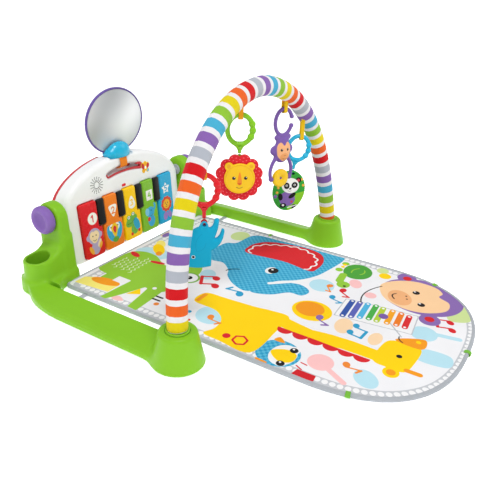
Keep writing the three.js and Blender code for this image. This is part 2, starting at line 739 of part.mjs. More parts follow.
function addLion(frame, toy) {
  frame.add(piece("green_link", link(hangers.lion.neck, 8), colours.green, 0.35));
  const middle = -39;
  toy.add(piece("lion_mane", toyPlate(maneOutline(middle), 8, 0), colours.red, 0.5));
  const face = new THREE.Shape().absarc(0, middle, 30, 0, 2 * Math.PI);
  const faceBackY = toyBackY - 8 - gap;
  const plate = solid(panel(face, faceBackY, 4, 1.5, 12));
  const ears = [-1, 1].map((side) => solid(rod("y", 8, 3, side * 21, faceBackY - 3, middle + 24, 14)));
  toy.add(piece("lion_face", plate.add(ears[0]).add(ears[1]), colours.yellow, 0.45));
}

function elephantOutline() {
  const shape = new THREE.Shape();
  shape.moveTo(-33, -86);
  shape.lineTo(-12, -86);
  shape.lineTo(-10, -74);
  shape.lineTo(0, -74);
  shape.lineTo(2, -86);
  shape.lineTo(14, -86);
  shape.quadraticCurveTo(15, -66, 13, -52);
  shape.quadraticCurveTo(34, -44, 37, -14);
  shape.quadraticCurveTo(37, -8, 31, -9);
  shape.quadraticCurveTo(26, -28, 19, -27);
  shape.quadraticCurveTo(27, -8, 27, 10);
  shape.quadraticCurveTo(22, 14, 17, 9);
  shape.quadraticCurveTo(16, -6, 8, -6);
  shape.quadraticCurveTo(7, 5, 0, 6);
  shape.quadraticCurveTo(-7, 5, -9, -6);
  shape.quadraticCurveTo(-31, -14, -33, -50);
  shape.closePath();
  return shape;
}

function addElephant(frame, toy) {
  frame.add(piece("red_link", link(hangers.elephant.neck, 9), colours.red, 0.35));
  toy.add(piece("elephant_toy", toyPlate(elephantOutline(), 14, 2.5, 3), colours.blue, 0.6));
}

function monkeyBody(headZ, axleZ, handX) {
  const ring = new THREE.TorusGeometry(1, linkWire / linkHalfWidth, 6, 18);
  ring.rotateX(Math.PI / 2).scale(linkHalfWidth - 2, linkHalfWidth, linkHalfHeight);
  ring.translate(0, 0, -linkHalfHeight);
  const neck = rod("y", 9, 10, -4, -5, headZ + 26, 14);
  const head = new THREE.SphereGeometry(1, 10, 7).scale(22, 10, 26).translate(0, 0, headZ);
  const ears = [-1, 1].map((side) => rod("y", 9, 6, side * 21, -3, headZ + 2, 14));
  const arms = [-1, 1].map((side) => {
    const path = new THREE.QuadraticBezierCurve3(
      new THREE.Vector3(side * 15, 0, headZ - 14),
      new THREE.Vector3(side * 36, 0, headZ - 40),
      new THREE.Vector3(side * handX, 0, axleZ),
    );
    const section = new THREE.Shape().absarc(0, 0, 3.6, 0, 2 * Math.PI);
    const settings = { extrudePath: path, steps: 5, curveSegments: 3, bevelEnabled: false };
    return new THREE.ExtrudeGeometry(section, settings);
  });
  const hands = [-1, 1].map((side) => new THREE.SphereGeometry(5, 6, 5).translate(side * handX, 0, axleZ));
  const axle = rod("x", 2.5, 2 * handX, -handX, 0, axleZ, 8);
  return joined(ring, neck, head, ...ears, ...arms, ...hands, axle);
}

function addMonkey(frame) {
  const headZ = -2 * linkHalfHeight - 34;
  const axleZ = headZ - 62;
  const handX = 25;
  frame.add(piece("monkey_toy", monkeyBody(headZ, axleZ, handX), colours.purple, 0.5));
  const disc = new THREE.Shape().absarc(0, 0, 20.5, 0, 2 * Math.PI);
  const wheel = solid(panel(disc, 4.5, 9, 2, 9)).subtract(solid(rod("x", 2.9, 60, -30, 0, 0, 8)));
  const mesh = piece("monkey_disc", wheel, colours.yellow, 0.4);
  mesh.position.z = axleZ;
  frame.add(mesh);
}

function addPanda(frame, toy) {
  frame.add(piece("blue_link", link(hangers.panda.neck, 9), colours.blue, 0.35));
  const shape = new THREE.Shape().absellipse(0, -43, 38, 49, 0, 2 * Math.PI);
  toy.add(piece("panda_toy", toyPlate(shape, 10, 2.5, 10), colours.green, 0.5));
}

function buildToys() {
  const toys = new THREE.Group();
  const sleeveCutter = archSweep(sleeveRadius + 3 * gap, 0, 1, 26, 10);
  const addToy = { lion: addLion, elephant: addElephant, monkey: addMonkey, panda: addPanda };
  for (const name of Object.keys(hangers)) {
    toys.add(piece(name + "_loop", toyLoop(name, sleeveCutter), colours.yellow, 0.9));
    const frame = hangerFrame(name);
    frame.rotateY(radians(hangers[name].lean));
    const toy = new THREE.Group();
    toy.position.z = -2 * linkHalfHeight - hangers[name].neck;
    frame.add(toy);
    addToy[name](frame, toy);
    toys.add(frame);
  }
  return toys;
}

// ---------------------------------------------------------------- mat

// The mat's outline: straight at the back and sides, round at the front.
function matOutline() {
  const shape = new THREE.Shape();
  const corner = 14;
  const power = 2.6;
  const reach = matRoundStartY - matFrontY;
  shape.moveTo(matHalfWidth, matRoundStartY);
  shape.lineTo(matHalfWidth, matBackY - corner);
  shape.quadraticCurveTo(matHalfWidth, matBackY, matHalfWidth - corner, matBackY);
  shape.lineTo(-matHalfWidth + corner, matBackY);
  shape.quadraticCurveTo(-matHalfWidth, matBackY, -matHalfWidth, matBackY - corner);
  shape.lineTo(-matHalfWidth, matRoundStartY);
  const steps = 28;
  for (let i = 1; i < steps; i += 1) {
    const angle = (Math.PI * i) / steps;
    const across = -Math.sign(Math.cos(angle)) * Math.abs(Math.cos(angle)) ** (2 / power);
    const ahead = Math.sin(angle) ** (2 / power);
    shape.lineTo(matHalfWidth * across, matRoundStartY - reach * ahead);
  }
  return shape;
}

// A strap from the mat's edge to the rail.
function cornerStrap() {
  return box(-railInnerX + gap, -matHalfWidth - gap, 290, 302, 3, 5);
}

function buildMat() {
  const mat = new THREE.Group();
  mat.add(piece("play_mat", prism(matOutline(), matThickness, 3), colours.matWhite, 0.95));
  for (const side of ["left", "right"]) {
    const strap = piece(side + "_mat_strap", cornerStrap(), colours.grey, 0.9);
    if (side === "right") strap.scale.x = -1;
    mat.add(strap);
  }
  return mat;
}

// ---------------------------------------------------------------- the whole gym

const gym = new THREE.Group();
gym.position.y = -frameMiddleY;
gym.add(buildSide("left"));
gym.add(buildSide("right"));
gym.add(buildPiano());
gym.add(buildArch());
gym.add(buildToys());
gym.add(buildMat());

export default gym;
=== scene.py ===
"""Looks of the piano play gym: moulded shells, printed mat, striped arch, hanging toys.

Lengths are millimetres while a shape is worked out, and metres in Blender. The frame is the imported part's:
+Z up, +Y towards the piano, +X to the right as seen from the mat's rounded end.
"""

import json
import math

import bpy
import numpy as np
from mathutils import Matrix, Vector


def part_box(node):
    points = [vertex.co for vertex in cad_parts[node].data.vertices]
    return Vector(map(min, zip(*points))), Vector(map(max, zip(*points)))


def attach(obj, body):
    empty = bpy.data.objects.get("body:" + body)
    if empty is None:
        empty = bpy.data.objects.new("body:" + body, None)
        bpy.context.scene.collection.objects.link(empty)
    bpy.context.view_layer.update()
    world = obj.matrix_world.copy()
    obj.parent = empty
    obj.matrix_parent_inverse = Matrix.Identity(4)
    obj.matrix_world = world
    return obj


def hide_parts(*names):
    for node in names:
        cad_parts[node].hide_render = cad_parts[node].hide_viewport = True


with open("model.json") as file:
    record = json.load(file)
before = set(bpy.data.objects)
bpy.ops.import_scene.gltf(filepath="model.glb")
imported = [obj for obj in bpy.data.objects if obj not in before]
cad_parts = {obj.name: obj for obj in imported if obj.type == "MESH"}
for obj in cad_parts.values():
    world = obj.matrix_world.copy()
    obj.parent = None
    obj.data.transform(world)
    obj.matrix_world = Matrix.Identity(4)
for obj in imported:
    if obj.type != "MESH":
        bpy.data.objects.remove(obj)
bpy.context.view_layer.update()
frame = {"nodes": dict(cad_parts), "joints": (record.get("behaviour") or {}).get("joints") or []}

MM = 0.001

# ---------------------------------------------------------------- colours

LIME = "82BF25"
PURPLE = "8565AE"
WHITE = "F1F2F2"
RIM_RED = "C93A41"
KEY_COLOURS = {"red": "DE1A22", "orange": "F4801A", "yellow": "FFCC00", "green": "7DBB2A", "blue": "14A5D2"}
BLACK = "191617"
CYAN = "1DB4DB"
ORANGE = "F28519"
GREY = "B4B9C1"
STRIPES = ("E3CF0C", "EC6420", "D4101A", "B3B8C2", "8962AE", "47ADD0", "8DC036")
STRIPE_WHITE = "ECEAEC"

# ---------------------------------------------------------------- places, from the frame

joint_at = {j["name"]: Vector(j["pos_m"]) / MM for j in frame["joints"] if "pos_m" in j}
joint_axis = {j["name"]: Vector(j["axis"]) for j in frame["joints"]}


def box_mm(node):
    low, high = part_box(node)
    return np.array(low) / MM, np.array(high) / MM


def centre_mm(node):
    low, high = box_mm(node)
    return (low + high) / 2


pivot = joint_at["piano_tilt"]
piano_lean = 5
piano_frame = Matrix.Translation(pivot) @ Matrix.Rotation(math.radians(-piano_lean), 4, "X")
boss_x = abs(centre_mm("left_arch_plug")[0])
arch_y = centre_mm("left_arch_plug")[1]
cup_x, cup_y = abs(centre_mm("left_rear_foot")[0]), centre_mm("left_rear_foot")[1]


def hanger_frame(joint):
    """The frame of a hanging toy: its origin is where its ring hangs, and it faces -Y."""
    axis = joint_axis[joint]
    turn = math.atan2(axis.y, axis.x)
    return Matrix.Translation(joint_at[joint]) @ Matrix.Rotation(turn, 4, "Z")


# ---------------------------------------------------------------- shapes as distance fields


def smooth_union(a, b, reach):
    share = np.clip(0.5 + 0.5 * (b - a) / reach, 0, 1)
    return b + (a - b) * share - reach * share * (1 - share)


def smooth_cut(body, tool, reach):
    return -smooth_union(-body, tool, reach)


def slab(flat, across, low, high, edge):
    """A flat shape's distance, given a thickness from low to high, with edges rounded by edge."""
    a = flat + edge
    b = np.abs(across - (low + high) / 2) - (high - low) / 2 + edge
    return np.hypot(np.maximum(a, 0), np.maximum(b, 0)) + np.minimum(np.maximum(a, b), 0) - edge


def outline_distance(points, u, v):
    """Signed distance from (u, v) to a closed outline, negative inside."""
    nearest = np.full(np.broadcast(u, v).shape, np.inf)
    inside = np.zeros(nearest.shape, bool)
    for (ax, ay), (bx, by) in zip(points, np.roll(points, -1, axis=0)):
        ex, ey = bx - ax, by - ay
        length = ex * ex + ey * ey
        if length < 1e-12:
            continue
        along = np.clip(((u - ax) * ex + (v - ay) * ey) / length, 0, 1)
        nearest = np.minimum(nearest, (u - ax - ex * along) ** 2 + (v - ay - ey * along) ** 2)
        if ey:
            crosses = ((ay <= v) != (by <= v)) & (u < ax + (v - ay) * ex / ey)
            inside ^= crosses
    return np.where(inside, -1, 1) * np.sqrt(nearest)


def capsule(x, y, z, a, b, radius):
    """Distance to a rod with round ends from point a to point b."""
    a, b = np.asarray(a, float), np.asarray(b, float)
    d = b - a
    along = ((x - a[0]) * d[0] + (y - a[1]) * d[1] + (z - a[2]) * d[2]) / (d @ d)
    along = np.clip(along, 0, 1)
    gaps = [q - a[i] - d[i] * along for i, q in enumerate((x, y, z))]
    return np.sqrt(gaps[0] ** 2 + gaps[1] ** 2 + gaps[2] ** 2) - radius


def ellipsoid(x, y, z, centre, radii):
    p = [(q - c) / r for q, c, r in zip((x, y, z), centre, radii)]
    length = np.sqrt(p[0] ** 2 + p[1] ** 2 + p[2] ** 2)
    return (length - 1) * min(radii)


def bend(start, control, end, count=8):
    """Points of a quadratic curve, without its last one."""
    t = np.linspace(0, 1, count, endpoint=False)[:, None]
    start, control, end = (np.asarray(p, float) for p in (start, control, end))
    return ((1 - t) ** 2 * start + 2 * t * (1 - t) * control + t**2 * end).tolist()


def arc(cx, cy, rx, ry, start, end, count=12):
    angles = np.radians(np.linspace(start, end, count))
    return np.column_stack([cx + rx * np.cos(angles), cy + ry * np.sin(angles)]).tolist()


def smooth_loop(points, count=6):
    """A closed smooth outline through given points."""
    p = np.asarray(points, float)
    before, after, beyond = np.roll(p, 1, 0), np.roll(p, -1, 0), np.roll(p, -2, 0)
    rows = []
    for t in np.linspace(0, 1, count, endpoint=False):
        rows.append(
            0.5
            * (
                2 * p
                + (after - before) * t
                + (2 * before - 5 * p + 4 * after - beyond) * t**2
                + (3 * p - before - 3 * after + beyond) * t**3
            )
        )
    return np.stack(rows, 1).reshape(-1, 2)


def new_mesh(name, points, faces, place=None):
    """A Blender mesh object from points in millimetres, placed in the part's frame."""
    points = np.asarray(points, float)
    if place is not None:
        matrix = np.array(place)
        points = points @ matrix[:3, :3].T + matrix[:3, 3]
    mesh = bpy.data.meshes.new(name)
    mesh.from_pydata((points * MM).tolist(), [], [list(map(int, f)) for f in faces])
    mesh.shade_smooth()
    mesh.update()
    made = bpy.data.objects.new(name, mesh)
    bpy.context.scene.collection.objects.link(made)
    return made


def surface(name, field, low, high, step, place=None):
    """A closed mesh of the surface where field is zero: one point in each grid cell that it crosses."""
    axes = [np.arange(a - 2 * step, b + 3 * step, step) for a, b in zip(low, high)]
    grid = np.meshgrid(*axes, indexing="ij", sparse=True)
    value = np.broadcast_to(field(*grid), [len(a) for a in axes])
    cells, points, quads = [], [], []
    for axis in range(3):
        side, up = (axis + 1) % 3, (axis + 2) % 3
        unit = np.eye(3, dtype=int)
        ahead = np.moveaxis(value, axis, 0)
        change = np.argwhere((ahead[:-1] < 0) != (ahead[1:] < 0))
        corner = np.empty_like(change)
        order = [axis] + [a for a in range(3) if a != axis]
        for column, place_of in enumerate(order):
            corner[:, place_of] = change[:, column]
        first = value[tuple(corner.T)]
        second = value[tuple((corner + unit[axis]).T)]
        point = corner + unit[axis] * (first / (first - second))[:, None]
        ring = [corner - unit[side] - unit[up], corner - unit[up], corner, corner - unit[side]]
        quad = np.stack([np.ravel_multi_index(tuple(c.T), value.shape) for c in ring], 1)
        quads.append(np.where((first < 0)[:, None], quad, quad[:, ::-1]))
        for column in range(4):
            cells.append(quad[:, column])
            points.append(point)
    cells, points, quads = np.concatenate(cells), np.concatenate(points), np.concatenate(quads)
    used, index = np.unique(cells, return_inverse=True)
    counts = np.bincount(index)
    middle = np.stack([np.bincount(index, points[:, a]) / counts for a in range(3)], 1)
    vertices = middle * step + np.array([a[0] for a in axes])
    faces = np.searchsorted(used, quads)
    return new_mesh(name, vertices, faces, place)


def turned(name, profile, place, segments=64):
    """A turned solid about the local Z axis; its profile of (radius, height) starts and ends on the axis."""
    profile = np.asarray(profile, float)
    angles = np.radians(np.linspace(0, 360, segments, endpoint=False))
    inner = profile[1:-1]
    round_x, round_y = np.cos(angles), np.sin(angles)
    rings = [np.column_stack([r * round_x, r * round_y, np.full(segments, h)]) for r, h in inner]
    points = np.concatenate([[[0, 0, profile[0][1]]], *rings, [[0, 0, profile[-1][1]]]])
    faces = []
    for i in range(segments):
        j = (i + 1) % segments
        faces.append((0, 1 + j, 1 + i))
        for k in range(len(inner) - 1):
            a, b = 1 + k * segments, 1 + (k + 1) * segments
            faces.append((a + i, a + j, b + j, b + i))
        last = 1 + (len(inner) - 1) * segments
        faces.append((last + i, last + j, len(points) - 1))
    return new_mesh(name, points, faces, place)


def lathe_ring(name, section, place, segments=72):
    """A ring turned from a closed section of (radius, height) points."""
    points, faces = [], []
    count = len(section)
    for i in range(segments):
        turn = 2 * math.pi * i / segments
        points += [(r * math.cos(turn), r * math.sin(turn), h) for r, h in section]
        following = (i + 1) % segments * count
        for k in range(count):
            a, b = i * count + k, i * count + (k + 1) % count
            faces.append((a, following + k, following + (k + 1) % count, b))
    return new_mesh(name, points, faces, place)


def tube_faces(count, sides, closed):
    """The faces of a tube made of rings of points, which meets itself if it is closed."""
    faces = []
    for i in range(count if closed else count - 1):
        for k in range(sides):
            a, b = i * sides, (i + 1) % count * sides
            faces.append((a + k, a + (k + 1) % sides, b + (k + 1) % sides, b + k))
    return faces


def rounded_profile(radius, low, high, edge, steps=5):
    """A disc's profile with rounded edges, for turned()."""
    bottom = arc(radius - edge, low + edge, edge, edge, -90, 0, steps)
    top = arc(radius - edge, high - edge, edge, edge, 0, 90, steps)
    return [(0, low)] + [tuple(p) for p in bottom + top] + [(0, high)]


def mirrored(source, name):
    """A copy of a piece on the other side of the middle plane."""
    mesh = source.data.copy()
    mesh.transform(Matrix.Scale(-1, 4, (1, 0, 0)))
    mesh.flip_normals()
    made = bpy.data.objects.new(name, mesh)
    bpy.context.scene.collection.objects.link(made)
    return made


# ---------------------------------------------------------------- printed shapes


def disc(x, y, radius):
    return lambda u, v: np.hypot(u - x, v - y) - radius


def oval(x, y, rx, ry, turn=0):
    c, s = math.cos(math.radians(turn)), math.sin(math.radians(turn))

    def distance(u, v):
        a, b = (u - x) * c + (v - y) * s, (v - y) * c - (u - x) * s
        near = np.hypot(a / rx, b / ry)
        return near * (near - 1) / np.maximum(np.hypot(a / rx**2, b / ry**2), 1e-6)

    return distance


def area(points):
    """A shape with straight sides, worked out only near itself."""
    points = np.asarray(points, float)
    low, high = points.min(0) - 12, points.max(0) + 12

    def distance(u, v):
        found = np.full(u.shape, 12.0)
        near = (u > low[0]) & (u < high[0]) & (v > low[1]) & (v < high[1])
        found[near] = outline_distance(points, u[near], v[near])
        return found

    return distance


def blob(points):
    return area(smooth_loop(points))


def line(points, width):
    """A pen line through the points, with round ends."""
    points = np.asarray(points, float)

    def distance(u, v):
        nearest = np.full(u.shape, np.inf)
        for (ax, ay), (bx, by) in zip(points[:-1], points[1:]):
            ex, ey = bx - ax, by - ay
            along = np.clip(((u - ax) * ex + (v - ay) * ey) / (ex * ex + ey * ey), 0, 1)
            nearest = np.minimum(nearest, np.hypot(u - ax - ex * along, v - ay - ey * along))
        return nearest - width / 2

    return distance


def curve_line(start, control, end, width):
    return line(bend(start, control, end, 8) + [list(end)], width)


def both(a, b):
    return lambda u, v: np.maximum(a(u, v), b(u, v))


def without(a, b):
    return lambda u, v: np.maximum(a(u, v), -b(u, v))


def enlarged(shapes, centre, factor):
    """The same shapes, made larger about a point."""
    x, y = centre

    def larger(shape):
        return lambda u, v: factor * shape(x + (u - x) / factor, y + (v - y) / factor)

    return [larger(shape) for shape in shapes]


def scalloped(points, depth, pitch):
    """A path with rounded bumps along its left side."""
    points = np.asarray(points, float)
    reach = np.concatenate([[0], np.cumsum(np.linalg.norm(np.diff(points, axis=0), axis=1))])
    wanted = np.linspace(0, reach[-1], 90)
    path = np.column_stack([np.interp(wanted, reach, points[:, a]) for a in range(2)])
    step = np.gradient(path, axis=0)
    step /= np.linalg.norm(step, axis=1)[:, None]
    bump = depth * np.abs(np.sin(math.pi * wanted / pitch))
    return path + np.column_stack([-step[:, 1] * bump, step[:, 0] * bump])


def note(x, y, size, turn=0):
    """A quaver: a round head, a stem and a flag."""
    c, s = math.cos(math.radians(turn)), math.sin(math.radians(turn))

    def at(u, v):
        return (x + size * (u * c - v * s), y + size * (u * s + v * c))

    head = oval(*at(0, 0), size * 0.62, size * 0.5, turn + 20)
    stem = line([at(0.5, 0), at(0.5, 2)], size * 0.26)
    flag = line([at(0.5, 2), at(1.15, 1.45)], size * 0.34)
    return [head, stem, flag]


def note_pair(x, y, size, turn=0):
    c, s = math.cos(math.radians(turn)), math.sin(math.radians(turn))

    def at(u, v):
        return (x + size * (u * c - v * s), y + size * (u * s + v * c))

    heads = [oval(*at(u, 0), size * 0.55, size * 0.45, turn + 20) for u in (-0.9, 0.9)]
    stems = [line([at(u + 0.42, 0), at(u + 0.42, 1.7)], size * 0.28) for u in (-0.9, 0.9)]
    return heads + stems + [line([at(-0.48, 1.7), at(1.32, 1.7)], size * 0.42)]


# ---------------------------------------------------------------- materials

SHINE = 0.16  # how strongly the plastics and cloths mirror the white studio


def linear(code):
    """A colour's six-digit code as linear red, green, blue and a full alpha."""
    channels = [int(code[i : i + 2], 16) / 255 for i in (0, 2, 4)]
    return [c / 12.92 if c <= 0.04045 else ((c + 0.055) / 1.055) ** 2.4 for c in channels] + [1]


class Nodes:
    """A material's node tree, with short calls to add and link nodes."""

    def __init__(self, name, roughness, **shader):
        self.material = bpy.data.materials.new(name)
        self.material.use_nodes = True
        self.tree = self.material.node_tree
        self.shader = self.tree.nodes["Principled BSDF"]
        self.shader.inputs["Roughness"].default_value = roughness
        self.shader.inputs["Specular IOR Level"].default_value = SHINE
        for key, value in shader.items():
            self.shader.inputs[key.replace("_", " ")].default_value = value
        self.coordinates = self.tree.nodes.new("ShaderNodeTexCoord").outputs["Object"]

    def add(self, kind, links=(), **values):
        node = self.tree.nodes.new(kind)
        for key, value in values.items():
            if hasattr(node, key):
                setattr(node, key, value)
            else:
                node.inputs[key.replace("_", " ")].default_value = value
        for socket, source in dict(links).items():
            self.tree.links.new(source, node.inputs[socket])
        return node

    def noise(self, scale, detail=2.0, roughness=0.5):
        node = self.add("ShaderNodeTexNoise", {"Vector": self.coordinates})
        node.inputs["Scale"].default_value = scale
        node.inputs["Detail"].default_value = detail
        node.inputs["Roughness"].default_value = roughness
        return node.outputs["Fac"]

    def math(self, operation, a, b=0.0, c=0.0):
        node = self.tree.nodes.new("ShaderNodeMath")
        node.operation = operation
        for socket, value in zip(node.inputs, (a, b, c)):
            if isinstance(value, (int, float)):
                socket.default_value = value
            else:
                self.tree.links.new(value, socket)
        return node.outputs[0]

    def scaled(self, value, from_low, from_high, to_low, to_high):
        node = self.add("ShaderNodeMapRange", {"Value": value})
        ends = {"From Min": from_low, "From Max": from_high, "To Min": to_low, "To Max": to_high}
        for key, number in ends.items():
            node.inputs[key].default_value = number
        return node.outputs["Result"]

    def mix(self, share, first, second):
        node = self.tree.nodes.new("ShaderNodeMix")
        node.data_type = "RGBA"
        for socket, value in ((node.inputs[0], share), (node.inputs[6], first), (node.inputs[7], second)):
            if isinstance(value, (int, float, list, tuple)):
                socket.default_value = value
            else:
                self.tree.links.new(value, socket)
        return node.outputs[2]

    def toned(self, colour, brightness):
        """The colour times a brightness, so that its hue stays."""
        node = self.tree.nodes.new("ShaderNodeMix")
        node.data_type, node.blend_type = "RGBA", "MULTIPLY"
        node.inputs[0].default_value = 1
        for socket, value in ((node.inputs[6], colour), (node.inputs[7], brightness)):
            if isinstance(value, list):
                socket.default_value = value
            else:
                self.tree.links.new(value, socket)
        return node.outputs[2]

    def attribute(self, name):
        node = self.tree.nodes.new("ShaderNodeAttribute")
        node.attribute_name = name
        return node.outputs["Fac"]

    def bump(self, height, distance, strength=1.0, normal=None):
        links = {"Height": height}
        if normal is not None:
            links["Normal"] = normal
        node = self.add("ShaderNodeBump", links)
        node.inputs["Distance"].default_value = distance
        node.inputs["Strength"].default_value = strength
        return node.outputs["Normal"]

    def colour(self, source):
        self.tree.links.new(source, self.shader.inputs["Base Color"])

    def link(self, source, socket):
        self.tree.links.new(source, self.shader.inputs[socket])


def moulded(nodes, base, grain=0.00003, tone=0.05):
    """Moulded plastic: a fine skin, slow changes of tone, scuffs in the gloss, paler worn edges."""
    mottled = nodes.toned(base, nodes.scaled(nodes.noise(14, 3), 0.3, 0.7, 1 - tone, 1))
    geometry = nodes.tree.nodes.new("ShaderNodeNewGeometry")
    worn = nodes.scaled(geometry.outputs["Pointiness"], 0.52, 0.6, 0, 0.07)
    scuffs = nodes.noise(90, 4, 0.65)
    worn = nodes.math("MULTIPLY", worn, nodes.scaled(scuffs, 0.4, 0.65, 0.3, 1))
    nodes.colour(nodes.mix(worn, mottled, linear("FFFFFF")))
    rough = nodes.shader.inputs["Roughness"].default_value
    nodes.link(nodes.scaled(scuffs, 0.3, 0.7, rough * 0.88, rough * 1.14), "Roughness")
    skin = nodes.bump(nodes.noise(1900, 2), grain)
    nodes.link(nodes.bump(nodes.noise(45, 2), grain * 2.2, 1, skin), "Normal")
    return nodes.material


def plastic(name, code, roughness=0.38, shine=SHINE, grain=0.00003, tone=0.05):
    nodes = Nodes(name, roughness, Specular_IOR_Level=shine)
    return moulded(nodes, linear(code), grain, tone)


def woven(nodes, base, along=None, across=None, threads=1500, depth=0.00012, tone=0.08):
    """The surface of woven cloth: crossing threads, fuzz and slow changes of tone."""
    separate = nodes.add("ShaderNodeSeparateXYZ", {"Vector": nodes.coordinates})
    along = along or separate.outputs["X"]
    across = across or separate.outputs["Y"]
    warp = nodes.math("SINE", nodes.math("MULTIPLY", along, threads * math.pi))
    weft = nodes.math("SINE", nodes.math("MULTIPLY", across, threads * math.pi))
    weave = nodes.math("MULTIPLY", warp, weft)
    fuzz = nodes.noise(2600, 3, 0.7)
    height = nodes.math("ADD", nodes.math("MULTIPLY", weave, 0.5), fuzz)
    slow = nodes.noise(9, 3)
    slow_shade = nodes.scaled(slow, 0.3, 0.7, -tone, 0)
    shade = nodes.math("ADD", slow_shade, nodes.scaled(fuzz, 0.35, 0.65, 1 - tone, 1))
    nodes.colour(nodes.toned(base, shade))
    nodes.link(nodes.bump(height, depth), "Normal")
    return nodes.material


def fabric(name, code, roughness=0.85, threads=1500, depth=0.00012, sheen=0.08):
    nodes = Nodes(name, roughness, Sheen_Weight=sheen, Sheen_Roughness=0.5)
    return woven(nodes, linear(code), threads=threads, depth=depth)


INK_EDGE = 0.35  # half the width, in millimetres, over which a print's colour fades in
NO_INK = 50.0  # a distance far from every shape


def inked(nodes, base, layers):
    """The colour of a print: each layer's colour where its distance attribute is negative."""
    colour = linear(base)
    for number, (code, _) in enumerate(layers):
        share = nodes.scaled(nodes.attribute(f"ink_{number}"), INK_EDGE, -INK_EDGE, 0, 1)
        colour = nodes.mix(share, colour, linear(code))
    return colour


def lay_ink(piece, layers, to_print, facing, place=None):
    """Writes each layer's distance to the piece's points; to_print takes points to the print's plane."""
    mesh = piece.data
    points = np.empty(len(mesh.vertices) * 3)
    mesh.vertices.foreach_get("co", points)
    points = points.reshape(-1, 3) / MM
    normals = np.empty(len(mesh.vertices) * 3)
    mesh.vertices.foreach_get("normal", normals)
    normals = normals.reshape(-1, 3)
    if place is not None:
        back = np.array(place.inverted())
        points = points @ back[:3, :3].T + back[:3, 3]
        normals = normals @ back[:3, :3].T
    u, v = to_print(points)
    hidden = normals @ np.array(facing, float) < 0.25
    for number, (_, shapes) in enumerate(layers):
        found = np.full(len(points), NO_INK)
        for shape in shapes:
            found = np.minimum(found, shape(u, v))
        found[hidden] = NO_INK
        attribute = mesh.attributes.new(f"ink_{number}", "FLOAT", "POINT")
        attribute.data.foreach_set("value", found.astype(np.float32))


def front_ink(piece, layers, place):
    """A print on the front of a piece, which faces -Y in the frame where it was made."""
    lay_ink(piece, layers, lambda p: (p[:, 0], p[:, 2]), (0, -1, 0), place)


def dress(piece, material, body=None, stands_for=()):
    """Gives a piece its material and its body, and hides the CAD nodes that it stands for."""
    piece.data.materials.clear()
    piece.data.materials.append(material)
    if body:
        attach(piece, body)
    if stands_for:
        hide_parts(*stands_for)
    return piece


lime_plastic = plastic("lime_plastic", LIME, 0.36, tone=0.04)
purple_plastic = plastic("purple_plastic", PURPLE, 0.42)
white_plastic = plastic("white_plastic", WHITE, 0.3, 0.25)
rim_plastic = plastic("rim_red_plastic", RIM_RED, 0.38)
black_plastic = plastic("black_plastic", BLACK, 0.34, 0.2)
cyan_plastic = plastic("cyan_plastic", CYAN, 0.22, 0.4)
red_plastic = plastic("red_plastic", "DA1F28", 0.28, 0.25)
green_plastic = plastic("green_plastic", "7FC01F", 0.28, 0.25)
yellow_plastic = plastic("yellow_plastic", "F5C80F", 0.3, 0.25)
grey_plastic = plastic("grey_plastic", GREY, 0.5)
grey_webbing = fabric("grey_webbing", "B9BDC4", threads=900, depth=0.0002)

# ---------------------------------------------------------------- camera, lights and floor


def make_camera():
    """The camera, fitted to the arch, rails, piano and mat."""
    position = Vector((-0.9452, -0.518, 0.613))
    heading, climb, roll = math.radians(30.307), math.radians(-25.837), math.radians(2.468)
    focal_share = 558.1 / 500  # focal length over the picture's width
    level = math.cos(climb)
    ahead = Vector((level * math.cos(heading), level * math.sin(heading), math.sin(climb)))
    data = bpy.data.cameras.new("camera")
    data.sensor_width = 36
    data.lens = 36 * focal_share
    data.clip_start, data.clip_end = 0.05, 50
    camera = bpy.data.objects.new("camera", data)
    turn = ahead.to_track_quat("-Z", "Y").to_matrix().to_4x4()
    camera.matrix_world = Matrix.Translation(position) @ turn @ Matrix.Rotation(roll, 4, "Z")
    bpy.context.scene.collection.objects.link(camera)
    bpy.context.scene.camera = camera


def area_light(name, position, target, size, power):
    data = bpy.data.lights.new(name, "AREA")
    data.shape = "DISK"
    data.size = size
    data.energy = power
    light = bpy.data.objects.new(name, data)
    position = Vector(position)
    turn = (Vector(target) - position).to_track_quat("-Z", "Y").to_matrix().to_4x4()
    light.matrix_world = Matrix.Translation(position) @ turn
    bpy.context.scene.collection.objects.link(light)


def make_stage():
    world = bpy.data.worlds.new("studio")
    world.use_nodes = True
    background = world.node_tree.nodes["Background"]
    background.inputs["Color"].default_value = (1, 1, 1, 1)
    background.inputs["Strength"].default_value = 0.56
    bpy.context.scene.world = world
    bpy.context.scene.view_settings.view_transform = "Standard"
    area_light("key_light", (-0.6, -0.7, 2.5), (0, 0.1, 0.1), 0.9, 31)
    area_light("fill_light", (1.8, -0.9, 1.6), (0, 0, 0.1), 1.2, 7)
    area_light("back_light", (-1.5, 1.5, 1.7), (0, 0.1, 0.1), 1.0, 9)
    size = 80
    corners = [(-size, -size, 0), (size, -size, 0), (size, size, 0), (-size, size, 0)]
    floor = new_mesh("floor", np.array(corners) / MM, [(0, 1, 2, 3)])
    nodes = Nodes("floor_paper", 0.9, Emission_Color=(1, 1, 1, 1), Emission_Strength=0.6)
    mottle = nodes.scaled(nodes.noise(3, 2), 0.3, 0.7, 0, 0.02)
    nodes.colour(nodes.mix(mottle, linear("FAFAFA"), linear("F0F0F0")))
    floor.data.materials.append(nodes.material)


make_camera()
make_stage()

# ---------------------------------------------------------------- base rails

tower_inner, tower_outer = 202, 232
tower_radius = 33
knob_length = 21
beam_inner, beam_outer = 284, 347
rail_back = box_mm("left_base_rail")[1][1]
rail_bottom = box_mm("left_base_rail")[0][2]
boss_top = 66
cup_rim = 70


